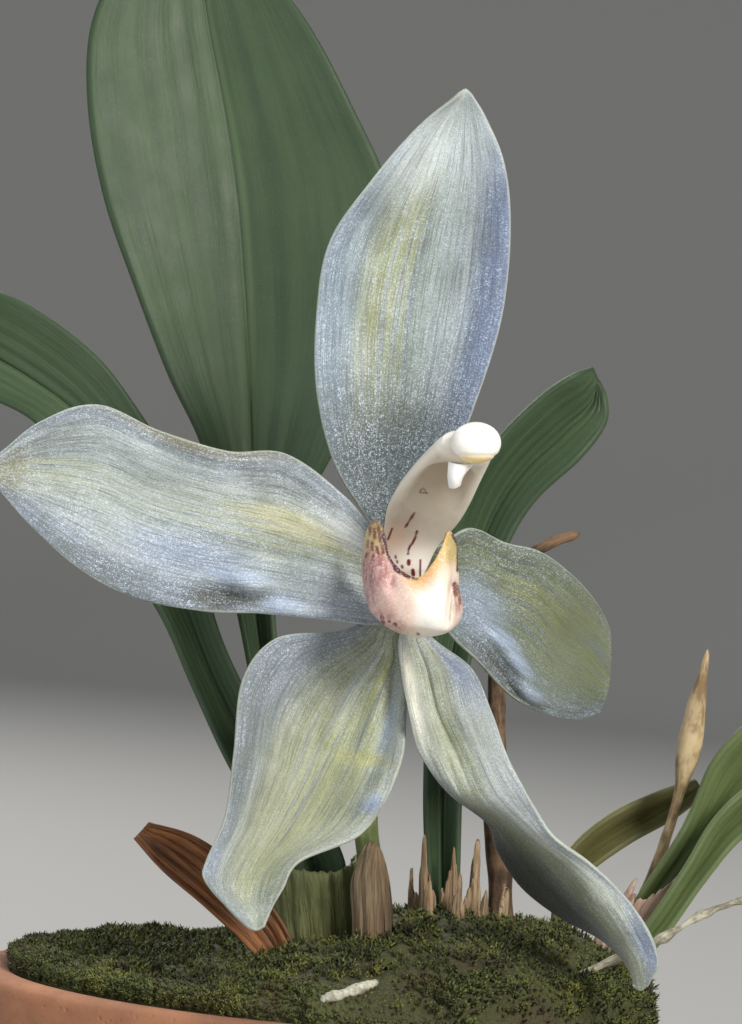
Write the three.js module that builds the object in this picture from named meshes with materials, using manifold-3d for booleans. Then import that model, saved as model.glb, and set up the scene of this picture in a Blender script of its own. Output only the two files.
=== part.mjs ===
// A small orchid in flower, growing in a round clay pot.
// One large pale flower stands in front of a fan of green leaves. Its stalk, the leaves and their dry
// sheaths rise from a moss mat that covers the potting mix.
// Millimetres, +Z up. The origin is the middle of the pot's underside, and the flower faces -Y.

import * as THREE from 'three';
import { mergeVertices } from 'three/addons/utils/BufferGeometryUtils.js';
import ManifoldModule from 'manifold-3d';

// Pot
const POT_HEIGHT = 50;
const RIM_RADIUS = 26;
const RIM_HEIGHT = 11;
const RIM_STEP = 1.6;
const BASE_RADIUS = 18;
const WALL = 3;
const FLOOR_THICKNESS = 4;
const EDGE_ROUND = 0.8;
const POT_SIDES = 32;
const DRAIN_RADIUS = 2.2;
const DRAIN_CIRCLE = 9;
const DRAIN_COUNT = 3;

// Potting mix and moss
const MIX_TOP = 43;
const MOSS_EDGE = POT_HEIGHT + 0.95;
const MOSS_LOW = 0.5;
const MOSS_RISE = 4.5;
const MOSS_RISE_FROM = -11;
const MOSS_RISE_TO = 14;
const MOSS_LUMP = 0.45;
const MOSS_RINGS = 6;
const MOSS_SPOKES = 28;
const MOSS_LIP = 1;
const MOSS_LIP_DROP = 2;
const MOSS_LIP_AT = -0.35;
const MOSS_LIP_SPREAD = 1.1;

// Flower, in its own frame: x to the right, y away from the viewer, z up the picture
const FLOWER_CENTRE = [5.1, -18, 79.7];
const FLOWER_ROLL = THREE.MathUtils.degToRad(5);
const TEPAL_THICKNESS = 0.7;
const LIP_WALL = 0.7;

// Leaves, sheaths and stalks
const LEAF_THICKNESS = 0.9;
const SHEATH_THICKNESS = 0.7;
const GAP = 0.3;
const STEM_FOOT = 47.5;
const SHOOT_FOOT = 50.8;

const wasm = await ManifoldModule();
wasm.setup();

const TERRACOTTA = new THREE.MeshStandardMaterial({ color: 0xa5603c, roughness: 0.9 });
const BARK_MIX = new THREE.MeshStandardMaterial({ color: 0x3a2a1c, roughness: 1.0 });
const MOSS_GREEN = new THREE.MeshStandardMaterial({ color: 0x56622c, roughness: 1.0 });
const LEAF_GREEN = new THREE.MeshStandardMaterial({ color: 0x5f7d57, roughness: 0.5 });
const SHEATH_GREEN = new THREE.MeshStandardMaterial({ color: 0x6c7c4a, roughness: 0.6 });
const DRY_TAN = new THREE.MeshStandardMaterial({ color: 0x9c8564, roughness: 0.9 });
const DRY_RUST = new THREE.MeshStandardMaterial({ color: 0x8a5434, roughness: 0.9 });
const TEPAL_WHITE = new THREE.MeshStandardMaterial({ color: 0xc3ccc0, roughness: 0.45 });
const LIP_CREAM = new THREE.MeshStandardMaterial({ color: 0xe9d2bf, roughness: 0.4 });
const COLUMN_CREAM = new THREE.MeshStandardMaterial({ color: 0xf0e6d2, roughness: 0.4 });
const ROOT_WHITE = new THREE.MeshStandardMaterial({ color: 0xb9b6a0, roughness: 0.8 });

const plant = new THREE.Group();
const flower = new THREE.Group();
flower.position.set(...FLOWER_CENTRE);
flower.rotation.y = -FLOWER_ROLL;
plant.add(flower);

// Adds one named piece to a group.
function addPiece(group, name, geometry, material) {
  const mesh = new THREE.Mesh(geometry, material);
  mesh.name = name;
  group.add(mesh);
}

// A geometry with only shared positions, as joining and cutting need it.
function bare(geometry) {
  const copy = geometry.clone();
  copy.deleteAttribute('normal');
  copy.deleteAttribute('uv');
  return mergeVertices(copy, 1e-4);
}

function toSolid(geometry) {
  const merged = bare(geometry);
  const mesh = new wasm.Mesh({
    numProp: 3,
    vertProperties: new Float32Array(merged.attributes.position.array),
    triVerts: new Uint32Array(merged.index.array),
  });
  return new wasm.Manifold(mesh);
}

function fromSolid(solid) {
  const mesh = solid.getMesh();
  const geometry = new THREE.BufferGeometry();
  geometry.setAttribute('position', new THREE.BufferAttribute(mesh.vertProperties, 3));
  geometry.setIndex(new THREE.BufferAttribute(mesh.triVerts, 1));
  return geometry;
}

function cutFrom(geometry, cutters) {
  let solid = toSolid(geometry);
  for (const cutter of cutters) {
    solid = solid.subtract(toSolid(cutter));
  }
  return fromSolid(solid);
}

// A geometry from points and triangles, turned so that its faces point out.
function closedGeometry(points, triangles) {
  let volume = 0;
  for (const [a, b, c] of triangles) {
    volume += points[a].dot(new THREE.Vector3().crossVectors(points[b], points[c]));
  }
  const ordered = volume > 0 ? triangles : triangles.map(([a, b, c]) => [a, c, b]);
  const geometry = new THREE.BufferGeometry();
  geometry.setAttribute('position', new THREE.Float32BufferAttribute(points.flatMap((p) => p.toArray()), 3));
  geometry.setIndex(ordered.flat());
  return geometry;
}

// A smooth curve through points given as [x, y, z].
function curveThrough(points, kind) {
  return new THREE.CatmullRomCurve3(points.map((p) => new THREE.Vector3(...p)), false, kind, 0.5);
}

// A smooth surface over a net of hand-set points: one curve along each column of the net,
// then one curve across each set of points found on them.
function netSurface({ rows, alongSteps, acrossSteps }) {
  const columns = rows[0].map((_, j) => curveThrough(rows.map((row) => row[j]), 'catmullrom'));
  const grid = [];
  for (let i = 0; i <= alongSteps; i++) {
    const across = curveThrough(columns.map((column) => column.getPoint(i / alongSteps)), 'catmullrom');
    const line = [];
    for (let j = 0; j <= acrossSteps; j++) {
      line.push(across.getPoint(j / acrossSteps));
    }
    grid.push(line);
  }
  return grid;
}

// A folded leaf surface from rows of left edge, midrib and right edge. Each half runs from the midrib
// to its edge in a curve whose power sets how sharp the fold is: 1 is a plain V, 2 a round channel.
function foldedSurface({ rows, alongSteps, acrossSteps, foldPower }) {
  const [left, midrib, right] = [0, 1, 2].map((j) => curveThrough(rows.map((row) => row[j]), 'catmullrom'));
  const grid = [];
  for (let i = 0; i <= alongSteps; i++) {
    const a = left.getPoint(i / alongSteps);
    const m = midrib.getPoint(i / alongSteps);
    const b = right.getPoint(i / alongSteps);
    const halfSpan = b.clone().sub(a).multiplyScalar(0.5);
    const rise = a.clone().add(b).multiplyScalar(0.5).sub(m);
    const line = [];
    for (let j = 0; j <= acrossSteps; j++) {
      const s = (2 * j) / acrossSteps - 1;
      const point = m.clone().addScaledVector(halfSpan, s);
      line.push(point.addScaledVector(rise, Math.abs(s) ** foldPower));
    }
    grid.push(line);
  }
  return grid;
}

// Folds and hollows of a petal: each pushes the surface along y by its depth in a soft round patch
// centred at (along, across), both from 0 to 1 over the surface.
function pressFolds(grid, folds) {
  const lastRow = grid.length - 1;
  const lastColumn = grid[0].length - 1;
  grid.forEach((line, i) => {
    line.forEach((point, j) => {
      for (const fold of folds) {
        const da = (i / lastRow - fold.along) / fold.length;
        const db = (j / lastColumn - fold.across) / fold.width;
        point.y += fold.depth * Math.exp(-da * da - db * db);
      }
    });
  });
  return grid;
}

function gridNormal(grid, i, j) {
  const lastRow = grid.length - 1;
  const lastColumn = grid[0].length - 1;
  const along = grid[Math.min(i + 1, lastRow)][j].clone().sub(grid[Math.max(i - 1, 0)][j]);
  const across = grid[i][Math.min(j + 1, lastColumn)].clone().sub(grid[i][Math.max(j - 1, 0)]);
  return along.cross(across).normalize();
}

// A thin solid sheet round a grid of points. Both faces are split along the same diagonals.
function sheetGeometry(grid, thickness) {
  const rows = grid.length;
  const columns = grid[0].length;
  const points = [];
  for (const side of [0.5, -0.5]) {
    for (let i = 0; i < rows; i++) {
      for (let j = 0; j < columns; j++) {
        const normal = gridNormal(grid, i, j);
        points.push(grid[i][j].clone().addScaledVector(normal, side * thickness));
      }
    }
  }
  const back = rows * columns;
  const triangles = [];
  for (let i = 0; i < rows - 1; i++) {
    for (let j = 0; j < columns - 1; j++) {
      const a = i * columns + j;
      const b = a + 1;
      const c = a + columns;
      const d = c + 1;
      triangles.push([a, b, d], [a, d, c]);
      triangles.push([back + a, back + d, back + b], [back + a, back + c, back + d]);
    }
  }
  const edge = [];
  for (let j = 0; j < columns - 1; j++) edge.push(j);
  for (let i = 0; i < rows - 1; i++) edge.push(i * columns + columns - 1);
  for (let j = columns - 1; j > 0; j--) edge.push((rows - 1) * columns + j);
  for (let i = rows - 1; i > 0; i--) edge.push(i * columns);
  edge.forEach((a, k) => {
    const b = edge[(k + 1) % edge.length];
    triangles.push([a, back + a, back + b], [a, back + b, b]);
  });
  return closedGeometry(points, triangles);
}

// A solid swept along a smooth path. section(t) gives one closed ring of [across, forward] points
// in the plane square to the path, with no twist from ring to ring.
function sweepGeometry(pathPoints, steps, section) {
  const path = curveThrough(pathPoints, 'centripetal');
  const frames = path.computeFrenetFrames(steps, false);
  const points = [];
  let sides = 0;
  for (let i = 0; i <= steps; i++) {
    const centre = path.getPointAt(i / steps);
    const ring = section(i / steps);
    sides = ring.length;
    for (const [across, forward] of ring) {
      const point = centre.clone().addScaledVector(frames.normals[i], across);
      points.push(point.addScaledVector(frames.binormals[i], forward));
    }
  }
  const triangles = [];
  for (let i = 0; i < steps; i++) {
    for (let k = 0; k < sides; k++) {
      const a = i * sides + k;
      const b = i * sides + ((k + 1) % sides);
      triangles.push([a, b, b + sides], [a, b + sides, a + sides]);
    }
  }
  for (const [first, flip] of [[0, true], [steps * sides, false]]) {
    const middle = points.length;
    const centre = new THREE.Vector3();
    for (let k = 0; k < sides; k++) centre.add(points[first + k]);
    points.push(centre.divideScalar(sides));
    for (let k = 0; k < sides; k++) {
      const a = first + k;
      const b = first + ((k + 1) % sides);
      triangles.push(flip ? [middle, b, a] : [middle, a, b]);
    }
  }
  return closedGeometry(points, triangles);
}

// A round stalk whose radius follows a list of values, evenly spaced along it.
function stalkGeometry({ path, radii, sides, steps }) {
  const radiusAt = (t) => {
    const place = t * (radii.length - 1);
    const k = Math.min(Math.floor(place), radii.length - 2);
    return THREE.MathUtils.lerp(radii[k], radii[k + 1], place - k);
  };
  return sweepGeometry(path, steps, (t) => {
    const ring = [];
    for (let k = 0; k < sides; k++) {
      const angle = (2 * Math.PI * k) / sides;
      ring.push([radiusAt(t) * Math.cos(angle), radiusAt(t) * Math.sin(angle)]);
    }
    return ring;
  });
}

// A straight round cutter from one point to another, for the hole a stem stands in.
function socketCutter(from, to, radius) {
  return stalkGeometry({ path: [from, to], radii: [radius, radius], sides: 8, steps: 1 });
}

// Part of a cone's wall round an upright axis, as a dry sheath clasps a stem. Its top edge is frayed
// into points, and it opens out towards the top.
function sheathSurface(sheath) {
  const grid = [];
  for (let i = 0; i <= sheath.rows; i++) {
    const up = i / sheath.rows;
    const line = [];
    for (let j = 0; j <= sheath.columns; j++) {
      const turn = j / sheath.columns;
      const angle = sheath.start + sheath.span * turn;
      const fray = 1 - sheath.fray * Math.abs(Math.sin(sheath.points * Math.PI * turn + sheath.shift));
      const rise = up * fray;
      const radius = THREE.MathUtils.lerp(sheath.footRadius, sheath.topRadius, rise);
      line.push(new THREE.Vector3(
        sheath.foot[0] + sheath.lean[0] * rise + radius * Math.cos(angle),
        sheath.foot[1] + sheath.lean[1] * rise + radius * Math.sin(angle),
        sheath.foot[2] + sheath.height * rise,
      ));
    }
    grid.push(line);
  }
  return grid;
}

// Clay pot: a turned wall with a thicker rim band, and three drain holes round a whole middle.
const rimFoot = POT_HEIGHT - RIM_HEIGHT;
const wallTopRadius = RIM_RADIUS - RIM_STEP;
const innerTopRadius = RIM_RADIUS - WALL;
const innerBaseRadius = BASE_RADIUS - WALL;

function potProfile(grow) {
  return [
    new THREE.Vector2(0, -grow),
    new THREE.Vector2(BASE_RADIUS - EDGE_ROUND + grow, -grow),
    new THREE.Vector2(BASE_RADIUS + grow, EDGE_ROUND),
    new THREE.Vector2(wallTopRadius + grow, rimFoot - grow),
    new THREE.Vector2(RIM_RADIUS - EDGE_ROUND / 2 + grow, rimFoot - grow),
    new THREE.Vector2(RIM_RADIUS + grow, rimFoot + EDGE_ROUND),
    new THREE.Vector2(RIM_RADIUS + grow, POT_HEIGHT - EDGE_ROUND),
    new THREE.Vector2(RIM_RADIUS - EDGE_ROUND + grow, POT_HEIGHT + grow),
    new THREE.Vector2(innerTopRadius + EDGE_ROUND - grow, POT_HEIGHT + grow),
    new THREE.Vector2(innerTopRadius - grow, POT_HEIGHT - EDGE_ROUND),
    new THREE.Vector2(innerBaseRadius - grow, FLOOR_THICKNESS + grow),
    new THREE.Vector2(0, FLOOR_THICKNESS + grow),
  ];
}

function turned(profile, sides) {
  return new THREE.LatheGeometry(profile, sides).rotateX(Math.PI / 2);
}

const drains = [];
for (let k = 0; k < DRAIN_COUNT; k++) {
  const angle = (2 * Math.PI * k) / DRAIN_COUNT + Math.PI / 2;
  const place = [DRAIN_CIRCLE * Math.cos(angle), DRAIN_CIRCLE * Math.sin(angle)];
  drains.push(socketCutter([...place, -1], [...place, FLOOR_THICKNESS + 1], DRAIN_RADIUS));
}
addPiece(plant, 'pot', cutFrom(turned(potProfile(0), POT_SIDES), drains), TERRACOTTA);

// Radius of the pot's inside at a height.
function innerRadius(height) {
  const share = (height - FLOOR_THICKNESS) / (POT_HEIGHT - EDGE_ROUND - FLOOR_THICKNESS);
  return THREE.MathUtils.lerp(innerBaseRadius, innerTopRadius, share);
}

// Potting mix: fills the pot to just under the moss.
const mixFoot = FLOOR_THICKNESS + GAP;
addPiece(plant, 'potting_mix', turned([
  new THREE.Vector2(0, mixFoot),
  new THREE.Vector2(innerRadius(mixFoot) - GAP, mixFoot),
  new THREE.Vector2(innerRadius(MIX_TOP) - GAP, MIX_TOP),
  new THREE.Vector2(0, MIX_TOP),
], POT_SIDES), BARK_MIX);

// Moss: a lumpy mound, low at the left, that stands over the rim and just over its edge at the right.
// It falls to one height all round its edge. Its lumps are slow waves, one every 6 to 12 mm.
function mossTop(x, y) {
  const far = Math.min(Math.hypot(x, y) / mossReach(Math.atan2(y, x)), 1);
  const rise = MOSS_LOW + MOSS_RISE * THREE.MathUtils.smoothstep(x, MOSS_RISE_FROM, MOSS_RISE_TO);
  const lumps = Math.sin(0.9 * x + 1.3) * Math.sin(0.8 * y + 0.7) + 0.7 * Math.sin(0.5 * x - 1.1 * y);
  return MOSS_EDGE + rise * Math.sqrt(1 - far ** 5) + MOSS_LUMP * lumps * (1 - far ** 4);
}

function mossReach(angle) {
  const off = Math.atan2(Math.sin(angle - MOSS_LIP_AT), Math.cos(angle - MOSS_LIP_AT));
  const spill = Math.exp(-((off / MOSS_LIP_SPREAD) ** 4));
  return THREE.MathUtils.lerp(innerTopRadius, RIM_RADIUS + MOSS_LIP, spill);
}

function mossGeometry() {
  const foot = MIX_TOP + GAP;
  const points = [new THREE.Vector3(0, 0, mossTop(0, 0)), new THREE.Vector3(0, 0, foot)];
  const ringStart = (ring) => 2 + ring * MOSS_SPOKES;
  for (let ring = 0; ring <= MOSS_RINGS; ring++) {
    for (let k = 0; k < MOSS_SPOKES; k++) {
      const angle = (2 * Math.PI * k) / MOSS_SPOKES;
      const share = Math.min((ring + 1) / MOSS_RINGS, 1) ** 0.8;
      const x = share * mossReach(angle) * Math.cos(angle);
      const y = share * mossReach(angle) * Math.sin(angle);
      points.push(new THREE.Vector3(x, y, ring === MOSS_RINGS ? foot : mossTop(x, y)));
    }
  }
  const triangles = [];
  for (let k = 0; k < MOSS_SPOKES; k++) {
    const next = (k + 1) % MOSS_SPOKES;
    triangles.push([0, ringStart(0) + k, ringStart(0) + next]);
    triangles.push([1, ringStart(MOSS_RINGS) + next, ringStart(MOSS_RINGS) + k]);
    for (let ring = 0; ring < MOSS_RINGS; ring++) {
      const a = ringStart(ring) + k;
      const b = ringStart(ring) + next;
      triangles.push([a, a + MOSS_SPOKES, b + MOSS_SPOKES], [a, b + MOSS_SPOKES, b]);
    }
  }
  return closedGeometry(points, triangles);
}

// Leaves: each is one blade running down into its narrow folded stalk, as rows of left edge, midrib
// and right edge from the foot in the moss to the tip.
const LEAF_REAR = [
  [[0.7, 6, STEM_FOOT], [1.9, 7.4, STEM_FOOT], [3.1, 6, STEM_FOOT]],
  [[-0.7, 6.5, 56], [0.5, 8.2, 56], [1.7, 6.5, 56]],
  [[-4.6, 7, 66.8], [-3.4, 9, 66.6], [-2.1, 7, 67]],
  [[-7.7, 8, 77.5], [-6.4, 10, 77.3], [-5.1, 8, 77.7]],
  [[-9.8, 9, 84], [-7.4, 11.5, 84], [-4.7, 9, 84.5]],
  [[-12, 9.5, 91.3], [-8.2, 13, 91.3], [-1.5, 9.5, 92.3]],
  [[-15.5, 10, 97.3], [-9, 13.5, 98], [1.2, 10, 99.2]],
  [[-19, 10.5, 104.5], [-10, 14, 105], [2, 10.5, 106.5]],
  [[-22, 11.5, 111.2], [-11.3, 14.5, 112.5], [1, 11.5, 113.7]],
  [[-24, 12.5, 118.4], [-13, 15.5, 119.5], [-2.5, 12.5, 120.2]],
  [[-24.5, 14, 125], [-15, 16.5, 126.5], [-6.5, 14, 126.5]],
  [[-22.8, 15.5, 130.7], [-16.3, 17.5, 132], [-10.8, 15.5, 131.6]],
  [[-20.3, 17.5, 135], [-17.3, 18.5, 136.1], [-14.1, 17.5, 135.2]],
  [[-18.4, 19, 137.4], [-17.6, 19, 137.8], [-16.8, 19, 137.5]],
];
const LEAF_LEFT = [
  [[-0.6, 0, STEM_FOOT], [1, 2, STEM_FOOT], [2.6, 0, STEM_FOOT]],
  [[-1, 0, 54.5], [0.7, 2.4, 54.5], [2.6, 0, 54.7]],
  [[-2.1, 0, 60], [-0.3, 2.8, 59.8], [1.9, 0, 60.4]],
  [[-7, 1, 66], [-5, 3.6, 65.7], [-2.8, 1, 66.7]],
  [[-11, 3, 72.6], [-9.4, 5.3, 72.6], [-7.6, 3, 73.6]],
  [[-14.1, 4, 78], [-12.2, 6.5, 77.9], [-10.2, 4, 78.8]],
  [[-19, 5, 84], [-16.5, 7.5, 86], [-13.4, 5.5, 88]],
  [[-24.5, 6, 91.5], [-21.5, 8.5, 92.4], [-17.5, 6.5, 94]],
  [[-29, 7, 93.9], [-26, 9.5, 95.5], [-22, 7.5, 98.6]],
  [[-34, 8, 95.1], [-31.5, 10.5, 98], [-28.9, 8.5, 102.3]],
  [[-38, 9, 96.2], [-36.5, 11, 99.3], [-34.6, 9.5, 102.2]],
  [[-41.2, 10.5, 98], [-40.8, 11.5, 99.5], [-40, 10.5, 101]],
  [[-42.9, 12, 98.9], [-43, 12, 99.4], [-42.7, 12, 99.9]],
];
const LEAF_RIGHT = [
  [[9.7, 6, STEM_FOOT], [10.9, 7.4, STEM_FOOT], [12.1, 6, STEM_FOOT]],
  [[9.1, 6, 57], [10.3, 8, 56.8], [11.5, 6, 57]],
  [[8.2, 6.5, 65], [9.6, 8.5, 65], [11, 6.5, 65.4]],
  [[7.8, 8, 73.5], [9.2, 10, 73.3], [10.6, 8, 73.7]],
  [[8.1, 9, 80.9], [9.8, 11.5, 80.4], [11.6, 9, 80]],
  [[9.1, 9.5, 88.9], [11.4, 12.5, 87.3], [13.2, 10, 86]],
  [[11.5, 10, 94], [13.5, 13, 91.7], [15.2, 10.5, 89.8]],
  [[14.8, 10.5, 98], [16.6, 13.5, 95.4], [18.4, 11, 93.3]],
  [[17.3, 11, 100], [18.9, 13.5, 97.8], [20.3, 12, 96.3]],
  [[18.8, 12.5, 100.8], [19.5, 13, 99.8], [20.1, 12.5, 98.8]],
];
const SHOOT_UPPER = [
  [[21.9, 3, SHOOT_FOOT], [22.6, 4, SHOOT_FOOT], [23.3, 3, SHOOT_FOOT]],
  [[25, 3, 57.6], [25.8, 4.2, 57.2], [26.5, 3, 56.8]],
  [[28, 3.5, 63], [28.9, 5, 62.5], [29.6, 3.5, 62.1]],
  [[29.3, 4, 65.8], [30.5, 6, 65], [31.3, 4, 64.4]],
  [[30.7, 4.5, 69.9], [32.7, 7, 68.9], [33.9, 5, 68.1]],
  [[32.9, 5, 72.9], [35, 7.5, 71.7], [36.5, 5.5, 70.9]],
  [[35.5, 6, 75.7], [37.3, 8, 74.7], [38.6, 6.5, 74]],
  [[38.3, 8, 78.6], [39, 8.5, 78], [39.6, 8, 77.5]],
];
const SHOOT_LOWER = [
  [[21.8, -2, SHOOT_FOOT], [22.5, -1, SHOOT_FOOT], [23.2, -2, SHOOT_FOOT]],
  [[26, -2, 57], [26.7, -0.8, 56.6], [27.4, -2, 56.2]],
  [[28.8, -1, 61.8], [29.6, 0.6, 61.2], [30.3, -1, 60.8]],
  [[30.8, 0, 65.6], [31.8, 2, 64.8], [32.7, 0, 64.1]],
  [[33.4, 1, 68.5], [34.7, 3, 67.5], [35.7, 1, 66.7]],
  [[36.7, 3, 70.7], [37.5, 4, 70], [38.2, 3, 69.4]],
  [[39, 5, 71.9], [39.4, 5, 71.3], [39.8, 5, 70.8]],
];
const SHOOT_OLIVE = [
  [[19.5, 9, SHOOT_FOOT], [20.2, 10, SHOOT_FOOT], [20.9, 9, SHOOT_FOOT]],
  [[19.5, 9.5, 58.4], [20.2, 11, 58], [20.9, 9.5, 58]],
  [[20.5, 10, 61.7], [21.3, 12, 60.7], [22.1, 10, 60.1]],
  [[23.4, 11, 64.6], [24.5, 13, 63.4], [25.2, 11, 62.6]],
  [[27, 12, 66.6], [28, 14, 65.5], [28.6, 12, 64.8]],
  [[30.3, 14, 67.9], [30.8, 14.5, 67.3], [31.2, 14, 66.8]],
];

const LEAVES = {
  leaf_rear: { rows: LEAF_REAR, alongSteps: 24, acrossSteps: 6, foldPower: 1.35 },
  leaf_left: { rows: LEAF_LEFT, alongSteps: 24, acrossSteps: 4, foldPower: 1.25 },
  leaf_right: { rows: LEAF_RIGHT, alongSteps: 18, acrossSteps: 4, foldPower: 1.2 },
  shoot_leaf_upper: { rows: SHOOT_UPPER, alongSteps: 14, acrossSteps: 4, foldPower: 1.2 },
  shoot_leaf_lower: { rows: SHOOT_LOWER, alongSteps: 12, acrossSteps: 4, foldPower: 1.2 },
  shoot_leaf_olive: { rows: SHOOT_OLIVE, alongSteps: 10, acrossSteps: 4, foldPower: 1.2 },
};
for (const [name, leaf] of Object.entries(LEAVES)) {
  addPiece(plant, name, sheetGeometry(foldedSurface(leaf), LEAF_THICKNESS), LEAF_GREEN);
}

// Sheaths clasping the leaf stalks: a green one at the left, and tan dry ones, frayed at the top.
const SHEATHS = {
  leaf_sheath_green: {
    foot: [1.2, 1.2, 50], lean: [-1.7, 0.2], height: 10.5, footRadius: 3.4, topRadius: 3.6,
    start: -2.9, span: 3.4, fray: 0.12, points: 1, shift: 0.4, rows: 5, columns: 10, material: SHEATH_GREEN,
  },
  dry_sheath_inner: {
    foot: [10.8, 7, 50], lean: [-0.6, 0.2], height: 12, footRadius: 2.5, topRadius: 2.8,
    start: -3, span: 3.6, fray: 0.35, points: 4, shift: 0.5, rows: 4, columns: 16, material: DRY_TAN,
  },
  dry_sheath_outer: {
    foot: [11.4, 6.8, 50], lean: [0, 0], height: 9.5, footRadius: 3.8, topRadius: 4.1,
    start: -2.6, span: 3.1, fray: 0.4, points: 5, shift: 1.1, rows: 4, columns: 20, material: DRY_TAN,
  },
  shoot_sheath: {
    foot: [23.4, 3.7, 53], lean: [4.7, 0.5], height: 8.5, footRadius: 2.1, topRadius: 2.1,
    start: -2.9, span: 4.2, fray: 0.3, points: 2, shift: 0.3, rows: 5, columns: 8, material: DRY_TAN,
  },
};
for (const [name, sheath] of Object.entries(SHEATHS)) {
  addPiece(plant, name, sheetGeometry(sheathSurface(sheath), SHEATH_THICKNESS), sheath.material);
}

// Dead leaf lying out to the left, and the papery bract at the foot of the flower's stalk.
const DRY_LEAF = [
  [[-2, -7.2, 50], [-1.2, -6, 50.6], [-0.2, -7.2, 51.8]],
  [[-4.2, -7.5, 53], [-3.3, -6.3, 54.3], [-2.3, -7.5, 55.7]],
  [[-8, -8, 56.2], [-7, -7, 57.7], [-6, -8, 59.5]],
  [[-11.5, -8, 58.7], [-10.5, -7, 60.1], [-9.5, -8, 61.6]],
  [[-14, -8, 61], [-13.5, -7.5, 61.6], [-13, -8, 62.3]],
];
const PAPERY_BRACT = [
  [[3.6, -4.6, 50.5], [5.2, -6.4, 50.5], [6.8, -4.6, 50.5]],
  [[3.3, -4.8, 55.5], [4.8, -6.8, 55.9], [6.4, -4.8, 55.7]],
  [[2.9, -4.6, 58.6], [4.4, -6.5, 59.2], [5.8, -4.6, 58.9]],
  [[3.3, -4.6, 60.6], [4.3, -6, 61.1], [5.2, -4.6, 60.7]],
  [[3.8, -4.8, 61.8], [4.2, -5.2, 62.1], [4.6, -4.8, 61.8]],
];
const dryLeaf = foldedSurface({ rows: DRY_LEAF, alongSteps: 12, acrossSteps: 4, foldPower: 1.6 });
const bract = foldedSurface({ rows: PAPERY_BRACT, alongSteps: 10, acrossSteps: 6, foldPower: 1.8 });
addPiece(plant, 'dry_leaf', sheetGeometry(dryLeaf, SHEATH_THICKNESS), DRY_RUST);
addPiece(plant, 'papery_bract', sheetGeometry(bract, SHEATH_THICKNESS), DRY_TAN);

// Thin stalks: the flower's own, a dead one behind the right petal, and one with a dry bud.
const FLOWER_STALK = [
  [5, -2.6, STEM_FOOT], [4.5, -2.6, 57.5], [3.6, -3.2, 63.5], [2.9, -5.2, 70.5], [3, -8.6, 76.7],
  [3.9, -12, 81.4], [4.4, -14.2, 83],
];
const DRY_STALK = [
  [16, 11, STEM_FOOT], [14.9, 11, 59], [14, 11, 67], [13.3, 11, 74], [13.2, 11.2, 80.5], [14.7, 11.4, 84.6],
  [16.9, 11.6, 86.3], [19, 11.8, 87.2],
];
const BUD_STALK = [
  [22.6, 7, SHOOT_FOOT], [26, 7, 57.5], [27.9, 7.2, 64], [28.8, 7.5, 69], [29.4, 8, 74.5], [29.9, 8.5, 78.8],
];

// Bare roots: a thin knotted one reaching out to the right, and a white stub on the moss.
const AERIAL_ROOT = [
  [20, -12, 53.4], [22.2, -12.4, 54.9], [25, -12.8, 56.4], [27, -11.8, 57.5], [29.5, -9.8, 59],
  [33, -8, 60.4], [36.5, -6, 61],
];
const ROOT_STUB = [[1.3, -23.7, 51.8], [2.7, -23.6, 52.3], [4, -23.3, 52.8], [5.4, -22.7, 53.4]];

const STALKS = {
  flower_stalk: {
    path: FLOWER_STALK, radii: [1.1, 1, 0.95, 0.95, 1.15, 1.45, 1.3],
    sides: 8, steps: 16, material: SHEATH_GREEN,
  },
  dry_stalk: {
    path: DRY_STALK, radii: [1.2, 1.2, 1.1, 0.8, 0.6, 0.5, 0.4],
    sides: 6, steps: 18, material: DRY_TAN,
  },
  dry_bud_stalk: {
    path: BUD_STALK, radii: [0.6, 0.6, 0.55, 0.5, 0.45, 0.45, 0.95, 0.8, 0.35],
    sides: 6, steps: 16, material: DRY_TAN,
  },
  aerial_root: {
    path: AERIAL_ROOT, radii: [0.5, 0.6, 0.45, 0.55, 0.4, 0.5, 0.35],
    sides: 6, steps: 18, material: ROOT_WHITE,
  },
  root_stub: {
    path: ROOT_STUB, radii: [0.45, 0.6, 0.6, 0.45],
    sides: 6, steps: 6, material: ROOT_WHITE,
  },
};
for (const [name, stalk] of Object.entries(STALKS)) {
  addPiece(plant, name, stalkGeometry(stalk), stalk.material);
}

// The moss is cut clear of the pot's rim and of everything that stands in it.
const STEM_SOCKETS = [
  [[1.9, 6.8, 45], [0, 7.3, 59], 2.2],
  [[1.5, 1.2, 45], [0, 1.3, 59], 4.6],
  [[11.4, 6.8, 45], [11.4, 6.8, 59], 5.1],
  [[21.8, 3.5, 50], [28, 4.2, 61.5], 3],
  [[22, -1.6, 50], [28.3, -1.4, 60.6], 1.7],
  [[20.2, 9.6, 50], [20.2, 10.4, 60], 1.6],
  [[5.2, -3.6, 45], [4.9, -3.8, 59], 4],
  [[16, 11, 45], [15, 11, 59], 1.7],
  [[22.1, 7, 50.6], [27, 7, 59.2], 1.1],
  [[-0.4, -6.8, 48.5], [-4.6, -7.2, 56.5], 2.5],
];
const mossCutters = [turned(potProfile(GAP), POT_SIDES), turned([
  new THREE.Vector2(RIM_RADIUS - 1, rimFoot),
  new THREE.Vector2(2 * RIM_RADIUS, rimFoot),
  new THREE.Vector2(2 * RIM_RADIUS, POT_HEIGHT - MOSS_LIP_DROP),
  new THREE.Vector2(RIM_RADIUS - 1, POT_HEIGHT - MOSS_LIP_DROP),
  new THREE.Vector2(RIM_RADIUS - 1, rimFoot),
], POT_SIDES)];
for (const [from, to, radius] of STEM_SOCKETS) {
  mossCutters.push(socketCutter(from, to, radius));
}
for (const root of [STALKS.aerial_root, STALKS.root_stub]) {
  mossCutters.push(stalkGeometry({ ...root, radii: root.radii.map((radius) => radius + GAP) }));
}
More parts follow.
